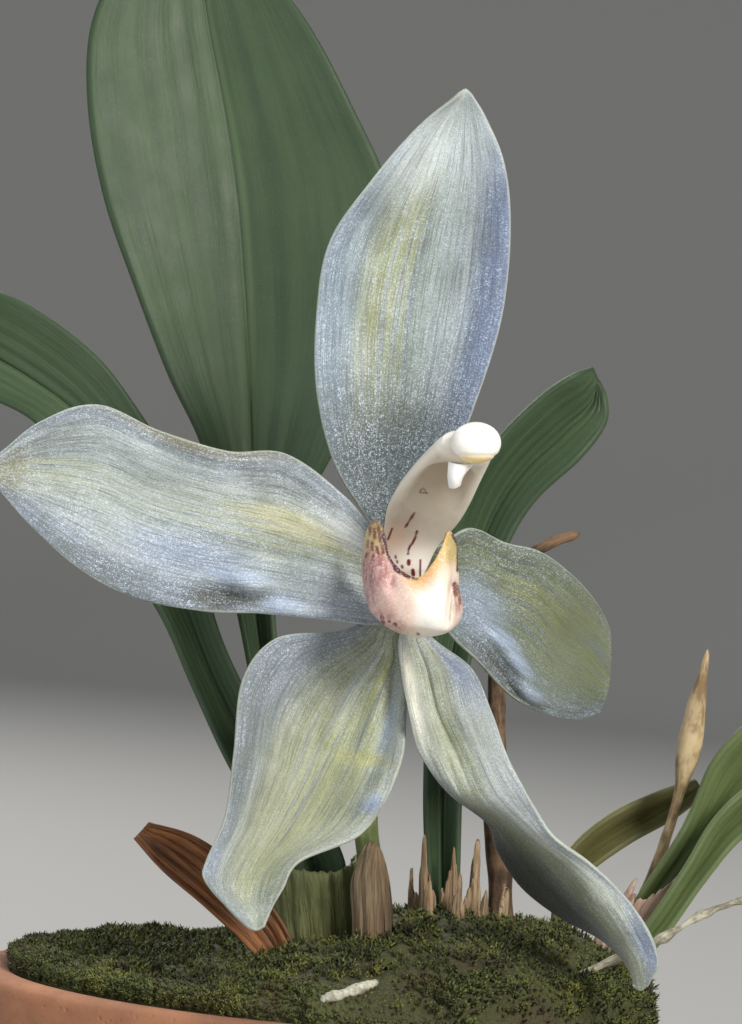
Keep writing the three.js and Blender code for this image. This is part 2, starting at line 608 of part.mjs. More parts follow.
addPiece(plant, 'moss', cutFrom(mossGeometry(), mossCutters), MOSS_GREEN);

// The flower's five tepals, as nets from the claw at the column to the tip. Each row runs from the
// edge that is left or upper to the one that is right or lower.
const SEPAL_DORSAL = [
  [[-2.9, 3.2, 7.6], [-1.3, 3.8, 7.6], [0.3, 3.2, 7.8]],
  [[-5.3, 3.5, 11.7], [-1.3, 5, 12.3], [3.6, 3.5, 12.3]],
  [[-6.6, 3.5, 17.1], [-1, 5.5, 17.2], [5.5, 3, 16.7]],
  [[-6.6, 3.5, 22.8], [-0.4, 6, 23.3], [7.3, 3, 22.7]],
  [[-5.7, 3, 28], [0.7, 5.5, 28.5], [7.9, 2.5, 28.9]],
  [[-2.9, 2.5, 32.2], [2.2, 4.5, 33.1], [7.5, 2, 33.7]],
  [[0.8, 2, 36.5], [3.4, 3, 36.9], [6.2, 1.5, 37]],
  [[4, 1, 39], [4.5, 1, 39.4], [5, 1, 39]],
];
const PETAL_LEFT = [
  [[-1.9, 1.2, 6.1], [-1.7, 2, 3.5], [-2.4, 1.2, -0.4]],
  [[-4.4, 0, 9.1], [-5, 1, 4.7], [-5.6, 0, 0]],
  [[-8.8, -0.5, 12.3], [-9, 0.5, 5.9], [-10.6, -1, 0.5]],
  [[-13.1, -1, 12.5], [-13.6, 0, 7], [-15.1, -1, 0.7]],
  [[-18.1, -1.5, 14], [-18.4, -0.5, 8.3], [-19.9, -2, 1.7]],
  [[-22.6, -2, 15.9], [-22.7, -1, 10], [-23.7, -3, 3.7]],
  [[-26.7, -2.5, 14.7], [-26.7, -2, 10.7], [-27.2, -3, 6.7]],
  [[-29.8, -3, 12.3], [-30.3, -3, 10.9], [-29.8, -3, 9.6]],
];
const PETAL_RIGHT = [
  [[2.5, 1.2, 5.5], [2.3, 2, 2.6], [2.6, 1.2, -0.3]],
  [[4.9, 3, 6.8], [4.7, 4, 2.3], [3.9, 2, -1.7]],
  [[7.6, 5, 5.7], [7.1, 6, 1], [5.5, 3, -3.2]],
  [[10.3, 7, 5], [9.6, 8, -0.4], [7.4, 5, -5.3]],
  [[12.7, 9, 3.3], [11.4, 9, -2.5], [9.2, 7, -6.7]],
  [[14.5, 11, 1.4], [13.5, 10, -3.9], [11.3, 9, -7.6]],
  [[15.8, 12, -0.9], [14.8, 11, -5.2], [13.4, 11, -7.9]],
  [[16, 12, -3], [15.7, 12, -5.6], [15.1, 12, -7.4]],
];
const SEPAL_LEFT = [
  [[-3.2, 3.2, -0.2], [-1.4, 3.6, -0.9], [0, 3.7, -1.7]],
  [[-5.2, 2.2, -0.9], [-2, 4, -2.7], [0.2, 2.9, -3.9]],
  [[-9.6, 0, -1.4], [-4.1, 3, -5.3], [0.1, 0.7, -7.1]],
  [[-12, -1, -4.4], [-6, 2, -8.9], [-0.2, -1, -10.1]],
  [[-12.6, -2, -9.7], [-7.4, 1, -12.1], [-1.4, -2, -13.2]],
  [[-13.3, -2, -14.5], [-9.3, 0, -15.6], [-3.4, -2, -15.8]],
  [[-14.6, -3, -17.5], [-11, -2, -18.2], [-7.7, -3, -17.6]],
  [[-14.7, -4, -18.9], [-11.7, -3, -20.2], [-8.9, -4, -19.5]],
  [[-13.1, -4, -20.9], [-11.2, -4, -21.3], [-9.7, -4, -20.9]],
  [[-11.5, -5, -22.2], [-10.9, -5, -22.5], [-10.3, -5, -22.2]],
];
const SEPAL_RIGHT = [
  [[-0.4, 2.3, -1.5], [0.9, 2.6, -1.4], [2, 2.6, -1.3]],
  [[-0.2, 1.2, -4.1], [1.9, 2, -3.9], [5, 1.4, -3.7]],
  [[0.3, -1, -7], [2.6, 1, -6.9], [6.4, -1, -6.8]],
  [[1.1, -1, -9.9], [3.9, 0, -9.8], [7.4, -2, -9.7]],
  [[3.2, 1, -12.8], [5.5, -1, -13], [8.5, -3, -11.9]],
  [[6.2, 4, -15.3], [7.7, -1, -14.7], [9.8, -3, -14.2]],
  [[7, 6, -17.5], [10, -1, -16.7], [11, -3, -15.9]],
  [[8.9, 7, -20.4], [12, -1, -18.6], [13.6, -3, -17.8]],
  [[11.8, 6, -22.6], [13.9, -2, -20.8], [16.2, -3, -20.3]],
  [[14.8, 3, -24], [15.5, -2, -22.9], [17.8, -4, -22.7]],
  [[16.5, 0, -25.6], [16.8, -3, -25], [18.5, -4, -25]],
  [[16.7, -3, -26.7], [17.2, -3.2, -27.1], [17.8, -3.4, -26.7]],
];
const PETAL_LEFT_FOLDS = [
  { along: 0.36, across: 0.95, length: 0.05, width: 0.2, depth: 1.2 },
  { along: 0.3, across: 0.78, length: 0.06, width: 0.14, depth: -0.8 },
  { along: 0.52, across: 0.9, length: 0.07, width: 0.16, depth: -0.6 },
];
const SEPAL_LEFT_FOLDS = [
  { along: 0.34, across: 0.88, length: 0.14, width: 0.12, depth: 1.3 },
  { along: 0.46, across: 0.72, length: 0.05, width: 0.3, depth: -0.7 },
  { along: 0.24, across: 0.4, length: 0.18, width: 0.14, depth: 0.5 },
];
const PETAL_RIGHT_FOLDS = [
  { along: 0.33, across: 0.73, length: 0.09, width: 0.09, depth: -1 },
  { along: 0.48, across: 0.81, length: 0.1, width: 0.09, depth: -1.3 },
  { along: 0.3, across: 0.95, length: 0.1, width: 0.09, depth: 0.8 },
  { along: 0.45, across: 0.98, length: 0.1, width: 0.08, depth: 0.8 },
];
const SEPAL_RIGHT_FOLDS = [
  { along: 0.16, across: 0.28, length: 0.12, width: 0.1, depth: -0.7 },
  { along: 0.2, across: 0.55, length: 0.12, width: 0.1, depth: 0.5 },
];

const TEPALS = {
  sepal_dorsal: { rows: SEPAL_DORSAL, folds: [], alongSteps: 18, acrossSteps: 6 },
  petal_left: { rows: PETAL_LEFT, folds: PETAL_LEFT_FOLDS, alongSteps: 18, acrossSteps: 10 },
  petal_right: { rows: PETAL_RIGHT, folds: PETAL_RIGHT_FOLDS, alongSteps: 14, acrossSteps: 12 },
  sepal_left: { rows: SEPAL_LEFT, folds: SEPAL_LEFT_FOLDS, alongSteps: 20, acrossSteps: 10 },
  sepal_right: { rows: SEPAL_RIGHT, folds: SEPAL_RIGHT_FOLDS, alongSteps: 24, acrossSteps: 8 },
};
for (const [name, tepal] of Object.entries(TEPALS)) {
  const grid = pressFolds(netSurface(tepal), tepal.folds);
  addPiece(flower, name, sheetGeometry(grid, TEPAL_THICKNESS), TEPAL_WHITE);
}

// Lip: a bag, open at the top, whose rim dips in front and at the back and rises in a lobe at each
// side. Each ring of the net runs round the bag from the front through the right side.
const LIP_RIM = [
  [0.9, -5.9, 3.25], [1.9, -5.7, 4.2], [2.6, -5.2, 5.4], [3.25, -4.4, 6.6], [3.8, -3.2, 5.5],
  [3.5, -1.8, 3.6], [2.2, -0.9, 1.6], [0.6, -0.7, 0.8], [-1.2, -0.9, 1.8], [-2.5, -1.5, 4.2],
  [-2.95, -2.6, 6.3], [-2.2, -3.7, 7.45], [-1.6, -4.6, 6.4], [-1.1, -5.3, 4.7], [-0.2, -5.8, 3.7],
];
const LIP_BELLY = [
  [1.2, -6.9, 1.6], [2.3, -6.8, 1.8], [3.1, -6, 2.5], [3.45, -4.9, 3.2], [3.95, -3.5, 2.7],
  [3.7, -1.9, 1.9], [2.5, -0.9, 0.9], [0.6, -0.7, 0.3], [-1.2, -0.9, 0.9], [-2.7, -1.5, 2.4],
  [-3.2, -2.9, 3.6], [-2.95, -4.3, 3.8], [-2.3, -5.5, 3.2], [-1.3, -6.3, 2.4], [0, -6.8, 1.9],
];
const LIP_CHIN = [
  [1.2, -6.4, -0.2], [2.3, -6.3, -0.35], [3.35, -5.6, -0.1], [4.1, -4.6, 0.6], [4.1, -3.4, 0.8],
  [3.4, -2, 0.4], [2, -1.2, -0.2], [0.6, -1, -0.5], [-0.8, -1.1, -0.3], [-2, -1.9, 0.4],
  [-2.65, -3.1, 1], [-2.45, -4.5, 0.8], [-1.8, -5.4, 0.3], [-0.9, -6, 0], [0.1, -6.4, -0.1],
];
const LIP_FOOT = [
  [1.1, -4.9, -0.95], [1.9, -4.8, -1], [2.8, -4.5, -0.9], [3.2, -4, -0.6], [2.9, -3.3, -0.6],
  [2.3, -2.7, -0.7], [1.5, -2.3, -0.9], [0.6, -2.2, -1], [-0.2, -2.4, -0.9], [-0.9, -2.8, -0.6],
  [-1.3, -3.4, -0.4], [-1.2, -4.1, -0.5], [-0.8, -4.6, -0.7], [-0.2, -4.9, -0.85], [0.4, -5, -0.95],
];
const LIP_BOTTOM = [0.8, -3.7, -1.2];
const LIP_ROWS = 8;
const LIP_SPOKES = 30;

// The bag's outer face: a smooth curve down each column of the net to the bottom, then a closed one
// round each set of points found on them.
function lipSurface() {
  const net = [LIP_RIM, LIP_BELLY, LIP_CHIN, LIP_FOOT, LIP_RIM.map(() => LIP_BOTTOM)];
  const columns = LIP_RIM.map((_, j) => curveThrough(net.map((ring) => ring[j]), 'catmullrom'));
  const grid = [];
  for (let i = 0; i < LIP_ROWS; i++) {
    const found = columns.map((column) => column.getPoint(i / LIP_ROWS));
    const round = new THREE.CatmullRomCurve3(found, true, 'catmullrom', 0.5);
    grid.push(Array.from({ length: LIP_SPOKES }, (_, k) => round.getPoint(k / LIP_SPOKES)));
  }
  return grid;
}

function lipGeometry() {
  const outside = lipSurface();
  const inside = outside.map((ring, i) => ring.map((point, k) => {
    const along = ring[(k + 1) % LIP_SPOKES].clone().sub(ring[(k + LIP_SPOKES - 1) % LIP_SPOKES]);
    const below = outside[Math.min(i + 1, LIP_ROWS - 1)][k];
    const down = below.clone().sub(outside[Math.max(i - 1, 0)][k]);
    return point.clone().addScaledVector(along.cross(down).normalize(), LIP_WALL);
  }));
  const bottom = new THREE.Vector3(...LIP_BOTTOM);
  const bottomInside = bottom.clone().add(new THREE.Vector3(0, 0, LIP_WALL));
  const points = [...outside.flat(), bottom, ...inside.flat(), bottomInside];
  const inner = LIP_ROWS * LIP_SPOKES + 1;
  const triangles = [];
  for (let k = 0; k < LIP_SPOKES; k++) {
    const next = (k + 1) % LIP_SPOKES;
    for (let i = 0; i < LIP_ROWS - 1; i++) {
      const a = i * LIP_SPOKES + k;
      const b = i * LIP_SPOKES + next;
      const c = a + LIP_SPOKES;
      const d = b + LIP_SPOKES;
      triangles.push([a, c, d], [a, d, b]);
      triangles.push([inner + a, inner + d, inner + c], [inner + a, inner + b, inner + d]);
    }
    const lastRow = (LIP_ROWS - 1) * LIP_SPOKES;
    triangles.push([lastRow + k, inner - 1, lastRow + next]);
    triangles.push([inner + lastRow + k, inner + lastRow + next, 2 * inner - 1]);
    triangles.push([k, next, inner + next], [k, inner + next, inner + k]);
  }
  return closedGeometry(points, triangles);
}
addPiece(flower, 'lip', lipGeometry(), LIP_CREAM);

// Column: a broad club that leans up and forward over the lip, rounder behind than in front.
const COLUMN_PATH = [
  [0.6, 0.4, 1.4], [-0.1, 1, 3.6], [0.4, 0.2, 5.9], [1.7, -2.4, 8.5], [3.2, -5.6, 11], [4.85, -8.4, 13.1],
];
const COLUMN_HALF_WIDTHS = [1, 1.7, 2.1, 2.7, 2.8, 2.6, 2.3, 1.8];
const COLUMN_BACK = 1.3;
const COLUMN_FRONT = 0.6;
const COLUMN_FOOT_SHARE = 0.55;
const COLUMN_TIP_SHARE = 0.5;
const COLUMN_SWELL = 3;
const COLUMN_SIDES = 12;
const COLUMN_STEPS = 12;

function columnGeometry() {
  const path = curveThrough(COLUMN_PATH, 'centripetal');
  const points = [];
  for (let i = 0; i <= COLUMN_STEPS; i++) {
    const t = i / COLUMN_STEPS;
    const place = t * (COLUMN_HALF_WIDTHS.length - 1);
    const k = Math.min(Math.floor(place), COLUMN_HALF_WIDTHS.length - 2);
    const half = THREE.MathUtils.lerp(COLUMN_HALF_WIDTHS[k], COLUMN_HALF_WIDTHS[k + 1], place - k);
    const forward = path.getTangentAt(t);
    const across = new THREE.Vector3(1, 0, 0).addScaledVector(forward, -forward.x).normalize();
    const backward = new THREE.Vector3().crossVectors(across, forward).normalize();
    const nearFoot = COLUMN_FOOT_SHARE + COLUMN_SWELL * t;
    const nearTip = COLUMN_TIP_SHARE + COLUMN_SWELL * (1 - t);
    const close = Math.min(1, nearFoot, nearTip);
    for (let s = 0; s < COLUMN_SIDES; s++) {
      const angle = (2 * Math.PI * s) / COLUMN_SIDES;
      const depth = Math.sin(angle) > 0 ? COLUMN_BACK : COLUMN_FRONT;
      const point = path.getPointAt(t).addScaledVector(across, half * Math.cos(angle));
      points.push(point.addScaledVector(backward, -depth * close * Math.sin(angle)));
    }
  }
  const triangles = [];
  for (let i = 0; i < COLUMN_STEPS; i++) {
    for (let s = 0; s < COLUMN_SIDES; s++) {
      const a = i * COLUMN_SIDES + s;
      const b = i * COLUMN_SIDES + ((s + 1) % COLUMN_SIDES);
      triangles.push([a, b, b + COLUMN_SIDES], [a, b + COLUMN_SIDES, a + COLUMN_SIDES]);
    }
  }
  for (let s = 1; s < COLUMN_SIDES - 1; s++) {
    const top = COLUMN_STEPS * COLUMN_SIDES;
    triangles.push([0, s + 1, s], [top, top + s, top + s + 1]);
  }
  return closedGeometry(points, triangles);
}
addPiece(flower, 'column', columnGeometry(), COLUMN_CREAM);

// Anther cap on the column's end, and the small flap of the beak below it.
const CAP_CENTRE = [5, -10.1, 12.95];
const CAP_RADII = [1.8, 1.35, 1.5];
const BEAK = [
  [[3.1, -9.5, 11.3], [3.9, -10, 11.1], [4.8, -9.6, 11.2]],
  [[3, -9.5, 10.6], [3.6, -9.9, 10.4], [4.2, -9.5, 10.7]],
  [[3.1, -9.3, 9.8], [3.45, -9.5, 9.6], [3.8, -9.3, 9.9]],
];
const BEAK_THICKNESS = 0.6;
const cap = new THREE.SphereGeometry(1, 12, 8).scale(...CAP_RADII).translate(...CAP_CENTRE);
const beak = netSurface({ rows: BEAK, alongSteps: 3, acrossSteps: 3 });
addPiece(flower, 'anther_cap', cap, COLUMN_CREAM);
addPiece(flower, 'beak_flap', sheetGeometry(beak, BEAK_THICKNESS), COLUMN_CREAM);

export default plant;
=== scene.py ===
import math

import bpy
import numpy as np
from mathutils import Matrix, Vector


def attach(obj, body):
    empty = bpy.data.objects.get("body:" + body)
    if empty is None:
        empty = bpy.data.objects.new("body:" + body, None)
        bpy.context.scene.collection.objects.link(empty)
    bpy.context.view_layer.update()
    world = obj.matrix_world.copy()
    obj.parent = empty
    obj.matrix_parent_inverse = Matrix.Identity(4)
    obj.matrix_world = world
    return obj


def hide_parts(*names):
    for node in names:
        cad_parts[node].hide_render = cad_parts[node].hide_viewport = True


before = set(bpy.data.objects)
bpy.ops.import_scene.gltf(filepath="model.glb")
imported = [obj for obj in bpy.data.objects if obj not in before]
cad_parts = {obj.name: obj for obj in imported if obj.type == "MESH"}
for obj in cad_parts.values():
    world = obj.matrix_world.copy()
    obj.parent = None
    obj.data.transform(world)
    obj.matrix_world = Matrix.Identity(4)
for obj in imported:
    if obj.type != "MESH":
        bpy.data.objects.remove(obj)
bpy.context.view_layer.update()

# A small orchid in flower, growing through moss in a round clay pot. The file follows the plant as it
# stands: the view and the light first, then the pot, the mix, the moss, the roots, the leaves, the dry
# sheaths, the stalks, and last the flower from its back sepal to its anther cap.
# Shapes are worked out in millimetres, +Z up, with the flower facing -Y, and made in metres.

MM = 0.001

# The view of the photograph. The camera stands 30 cm in front of the flower, level, and rolled so
# that the pot's rim slopes five degrees down to the right. The flower shares that roll.
PICTURE_HEIGHT = 1024
SENSOR = 36
FOCAL_PIXELS = 4050
ROLL = math.radians(5)
FLOWER_CENTRE = np.array([5.1, -18.0, 79.7])
FLOWER_DISTANCE = 300
CENTRE_LEFT_OF_FLOWER = 2.52
CENTRE_ABOVE_FLOWER = 8.0
picture_right = np.array([math.cos(ROLL), 0, math.sin(ROLL)])
picture_up = np.array([-math.sin(ROLL), 0, math.cos(ROLL)])
away = np.array([0.0, 1.0, 0.0])

eye = FLOWER_CENTRE - FLOWER_DISTANCE * away
eye = eye - CENTRE_LEFT_OF_FLOWER * picture_right + CENTRE_ABOVE_FLOWER * picture_up
lens = bpy.data.cameras.new("camera")
lens.sensor_width = SENSOR
lens.lens = SENSOR * FOCAL_PIXELS / PICTURE_HEIGHT
lens.clip_start = 0.02
camera = bpy.data.objects.new("camera", lens)
turn = Matrix([list(row) for row in np.stack([picture_right, picture_up, -away], axis=1)])
camera.matrix_world = Matrix.Translation(Vector(eye * MM)) @ turn.to_4x4()
bpy.context.collection.objects.link(camera)
bpy.context.scene.camera = camera

# The studio. A wide pale floor runs flat under the pot and sweeps up all round into a low wall, and
# three soft lamps stand in front and one behind, the brightest high at the right.
FLOOR_FLAT = 1.5
FLOOR_WALL = 2.3
FLOOR_WALL_HEIGHT = 1.9
FLOOR_SIDES = 96
FLOOR_COLOUR = (0.42, 0.41, 0.39, 1)
WORLD_COLOUR = (0.80, 0.86, 0.95, 1)
WORLD_STRENGTH = 0.32
LAMPS_AIM = (0, -0.015, 0.085)
LAMPS = {
    "key_lamp": {"at": (0.50, -0.75, 0.62), "size": 0.30, "watts": 12.5, "colour": (1.0, 0.97, 0.92)},
    "fill_lamp": {"at": (-0.85, -0.60, 0.35), "size": 0.70, "watts": 3.6, "colour": (0.86, 0.92, 1.0)},
    "low_lamp": {"at": (0.15, -0.95, 0.02), "size": 0.50, "watts": 2.0, "colour": (1.0, 0.98, 0.95)},
    "back_lamp": {"at": (-0.45, 0.75, 0.80), "size": 0.50, "watts": 8, "colour": (1.0, 1.0, 1.0)},
}


def new_material(name):
    """A node material with one Principled shader joined to its output."""
    material = bpy.data.materials.new(name)
    material.use_nodes = True
    tree = material.node_tree
    shader = next(n for n in tree.nodes if n.type == "BSDF_PRINCIPLED")
    return material, tree, shader


def feed(node, inputs):
    """Each named input of a node, linked from another node's socket or set to a value."""
    for key, value in inputs.items():
        if isinstance(value, bpy.types.NodeSocket):
            node.id_data.links.new(value, node.inputs[key])
        else:
            node.inputs[key].default_value = value


def add(tree, kind, inputs=None, **settings):
    """One node in a tree, with its settings made and its inputs fed."""
    node = tree.nodes.new(kind)
    for name, value in settings.items():
        setattr(node, name, value)
    feed(node, inputs or {})
    return node


def make_piece(name, points, faces, material, uv=None, values=None):
    """A smooth mesh piece from points in millimetres, a list of face index arrays, a UV for each
    point and named values for each point. It stands at the origin, with its place in its mesh."""
    mesh = bpy.data.meshes.new(name)
    corners = np.concatenate([f.ravel() for f in faces]).astype(np.int32)
    sides = np.concatenate([np.full(len(f), f.shape[1]) for f in faces])
    starts = (np.cumsum(sides) - sides).astype(np.int32)
    mesh.vertices.add(len(points))
    mesh.vertices.foreach_set("co", (np.asarray(points) * MM).astype(np.float32).ravel())
    mesh.loops.add(len(corners))
    mesh.loops.foreach_set("vertex_index", corners)
    mesh.polygons.add(len(starts))
    mesh.polygons.foreach_set("loop_start", starts)
    mesh.polygons.foreach_set("use_smooth", np.ones(len(starts), dtype=bool))
    if uv is not None:
        layer = mesh.uv_layers.new(name="UVMap")
        layer.data.foreach_set("uv", np.asarray(uv, dtype=np.float32)[corners].ravel())
    for key, value in (values or {}).items():
        attribute = mesh.attributes.new(key, "FLOAT", "POINT")
        attribute.data.foreach_set("value", np.asarray(value, dtype=np.float32).ravel())
    mesh.update(calc_edges=True)
    mesh.validate()
    mesh.materials.append(material)
    piece = bpy.data.objects.new(name, mesh)
    bpy.context.collection.objects.link(piece)
    return piece


def ring_faces(rows, sides):
    """Quads between neighbouring rings of points: ring i, place k is point i * sides + k."""
    i, k = np.meshgrid(np.arange(rows - 1), np.arange(sides), indexing="ij")
    a = i * sides + k
    b = i * sides + (k + 1) % sides
    return np.stack([a, b, b + sides, a + sides], axis=-1).reshape(-1, 4)


def turned_rings(profile, sides):
    """Points of a profile of radius and height turned round the Z axis, ring by ring."""
    angle = 2 * np.pi * np.arange(sides) / sides
    radius, height = np.asarray(profile, dtype=float).T
    x = radius[:, None] * np.cos(angle)
    y = radius[:, None] * np.sin(angle)
    return np.stack([x, y, np.repeat(height[:, None], sides, axis=1)], axis=-1)


def end_fans(rings, sides, low, high):
    """Triangles that close a tube of rings: a fan from its first ring to the point numbered low, and
    one from its last ring to the point numbered high."""
    first = np.arange(sides)
    following = (first + 1) % sides
    last = (rings - 1) * sides
    return np.concatenate([
        np.stack([first, following, np.full(sides, low)], axis=-1),
        np.stack([last + following, last + first, np.full(sides, high)], axis=-1),
    ])


sweep = np.linspace(0, np.pi / 2, 24)[1:]
floor_profile = np.concatenate([
    [[1, 0], [300, 0], [1000 * FLOOR_FLAT, 0]],
    np.stack([
        1000 * (FLOOR_FLAT + (FLOOR_WALL - FLOOR_FLAT) * np.sin(sweep)),
        1000 * FLOOR_WALL_HEIGHT * (1 - np.cos(sweep)),
    ], axis=-1),
])
floor_material, tree, shader = new_material("studio_floor")
feed(shader, {"Base Color": FLOOR_COLOUR, "Roughness": 0.9})
floor_points = np.concatenate([turned_rings(floor_profile, FLOOR_SIDES).reshape(-1, 3), [[0, 0, 0]]])
floor_cap = end_fans(1, FLOOR_SIDES, len(floor_points) - 1, 0)[:FLOOR_SIDES]
floor = make_piece(
    "studio_floor", floor_points, [ring_faces(len(floor_profile), FLOOR_SIDES), floor_cap], floor_material,
)

world = bpy.data.worlds.new("studio_air")
world.use_nodes = True
air = world.node_tree.nodes["Background"]
feed(air, {"Color": WORLD_COLOUR, "Strength": WORLD_STRENGTH})
bpy.context.scene.world = world
bpy.context.scene.view_settings.view_transform = "Standard"
for name, lamp in LAMPS.items():
    light = bpy.data.lights.new(name, "AREA")
    light.size = lamp["size"]
    light.energy = lamp["watts"]
    light.color = lamp["colour"]
    stand = bpy.data.objects.new(name, light)
    towards = Vector(LAMPS_AIM) - Vector(lamp["at"])
    stand.location = lamp["at"]
    stand.rotation_euler = towards.to_track_quat("-Z", "Y").to_euler()
    bpy.context.collection.objects.link(stand)

# The pot. A hand-thrown clay flowerpot, fired dull orange, with a thicker band at its rim and three
# drain holes in its base. The clay is porous: it has pits, pale lime bloom, and dark damp stains.
POT_HEIGHT = 50
RIM_RADIUS = 26
RIM_HEIGHT = 11
RIM_STEP = 1.6
BASE_RADIUS = 18
WALL = 3
FLOOR_THICKNESS = 4
POT_SIDES = 160
DRAIN_RADIUS = 2.2
DRAIN_CIRCLE = 9
DRAIN_TURN = math.pi / 2 + 0.01
DRAIN_SIDES = 32
CLAY_ORANGE = (0.400, 0.165, 0.078, 1)
CLAY_PALE = (0.470, 0.215, 0.110, 1)
CLAY_DARK = (0.135, 0.060, 0.034, 1)
CLAY_BLOOM = (0.560, 0.420, 0.310, 1)


def calc(operation, *values):
    """The result of one Math node, in the tree that its first linked value comes from."""
    tree = next(value.id_data for value in values if isinstance(value, bpy.types.NodeSocket))
    return add(tree, "ShaderNodeMath", dict(enumerate(values)), operation=operation).outputs[0]


def times(a, b):
    """One value times another."""
    return calc("MULTIPLY", a, b)


def fade(value, start, end, low=0.0, high=1.0):
    """A value that turns smoothly from low at start to high at end."""
    inputs = {0: value, 1: start, 2: end, 3: low, 4: high}
    return add(value.id_data, "ShaderNodeMapRange", inputs, interpolation_type="SMOOTHSTEP").outputs[0]


def mix(mask, low, high):
    """Two colours mixed by a mask."""
    return add(mask.id_data, "ShaderNodeMix", {0: mask, 6: low, 7: high}, data_type="RGBA").outputs[2]


def object_place(tree):
    """The point on the object, in metres."""
    return add(tree, "ShaderNodeTexCoord").outputs["Object"]


def noise(vector, scale, detail, **settings):
    """Fractal noise from 0 to 1."""
    inputs = {"Vector": vector, "Scale": scale, "Detail": detail, **settings}
    return add(vector.id_data, "ShaderNodeTexNoise", inputs).outputs["Fac"]


def bumped(strength, distance, height):
    """A normal pushed about by a height, with its reach in metres."""
    inputs = {"Strength": strength, "Distance": distance, "Height": height}
    return add(height.id_data, "ShaderNodeBump", inputs).outputs[0]


def new_group(name, inputs, outputs):
    """An empty shader node group with float or vector inputs and float outputs."""
    group = bpy.data.node_groups.new(name, "ShaderNodeTree")
    for key, kind in inputs:
        group.interface.new_socket(key, in_out="INPUT", socket_type=kind)
    for key in outputs:
        group.interface.new_socket(key, in_out="OUTPUT", socket_type="NodeSocketFloat")
    return group, group.nodes.new("NodeGroupInput"), group.nodes.new("NodeGroupOutput")


# Patches of slow cloudy change, with the size of a patch and its contrast given.
patches, given, result = new_group(
    "cloudy_patches",
    [("Vector", "NodeSocketVector"), ("Scale", "NodeSocketFloat"), ("Contrast", "NodeSocketFloat")],
    ["Value"],
)
cloud = noise(given.outputs["Vector"], given.outputs["Scale"], 6.0, Roughness=0.6)
lifted = calc("MULTIPLY_ADD", calc("SUBTRACT", cloud, 0.5), given.outputs["Contrast"], 0.5)
patches.links.new(add(patches, "ShaderNodeClamp", {0: lifted}).outputs[0], result.inputs["Value"])


def cloudy(vector, scale, contrast):
    """Cloudy patches from the shared group."""
    inputs = {"Vector": vector, "Scale": scale, "Contrast": contrast}
    return add(vector.id_data, "ShaderNodeGroup", inputs, node_tree=patches).outputs["Value"]


def pot_profile():
    """Outside from the base up, over the rounded rim and down inside, with a shallow groove where the
    rim band meets the wall."""
    foot = POT_HEIGHT - RIM_HEIGHT
    wall_top = RIM_RADIUS - RIM_STEP
    inside = RIM_RADIUS - WALL
    arc = np.linspace(0, np.pi, 9)
    lip = np.stack([
        (RIM_RADIUS + inside) / 2 + WALL / 2 * np.cos(arc), POT_HEIGHT - 1.1 + 1.1 * np.sin(arc) ** 0.7,
    ], axis=-1)
    wall = np.linspace(0.8, foot - 0.5, 26)
    outside = BASE_RADIUS + (wall_top - BASE_RADIUS) * wall / foot
    band = np.linspace(foot + 0.9, POT_HEIGHT - 1.4, 8)
    return np.concatenate([
        [[0.5, 0], [DRAIN_CIRCLE, 0], [BASE_RADIUS - 1, 0], [BASE_RADIUS - 0.3, 0.2]],
        np.stack([outside, wall], axis=-1),
        [[wall_top - 0.05, foot - 0.1], [RIM_RADIUS - 0.7, foot], [RIM_RADIUS - 0.15, foot + 0.35]],
        np.stack([np.full(8, RIM_RADIUS), band], axis=-1),
        lip,
        [[inside - 0.1, POT_HEIGHT - 4], [BASE_RADIUS - WALL, FLOOR_THICKNESS], [0.5, FLOOR_THICKNESS]],
    ])


clay, tree, shader = new_material("fired_clay")
place = object_place(tree)
height = add(tree, "ShaderNodeSeparateXYZ", {0: place}).outputs["Z"]
damp = times(cloudy(place, 90.0, 2.2), fade(height, 0.036, 0.050, 0.35, 1.0))
bloom = times(cloudy(place, 160.0, 3.2), fade(height, 0.000, 0.030, 0.9, 0.25))
body = mix(cloudy(place, 700.0, 1.6), CLAY_ORANGE, CLAY_PALE)
body = mix(damp, body, CLAY_DARK)
body = mix(fade(bloom, 0.45, 0.95, 0.0, 0.55), body, CLAY_BLOOM)
pits = add(tree, "ShaderNodeTexVoronoi", {"Vector": place, "Scale": 1500.0}).outputs["Distance"]
grit = noise(place, 2600.0, 3.0)
turning_lines = add(tree, "ShaderNodeTexWave", {
    "Vector": place, "Scale": 180.0, "Distortion": 1.2, "Detail": 2.0, "Detail Scale": 2.0,
}, bands_direction="Z").outputs["Fac"]
relief = calc("MULTIPLY_ADD", fade(pits, 0.05, 0.32), 0.6, times(grit, 0.5))
relief = calc("MULTIPLY_ADD", turning_lines, 0.5, relief)
feed(shader, {"Base Color": body, "Roughness": 0.88, "Normal": bumped(0.7, 0.00012, relief)})

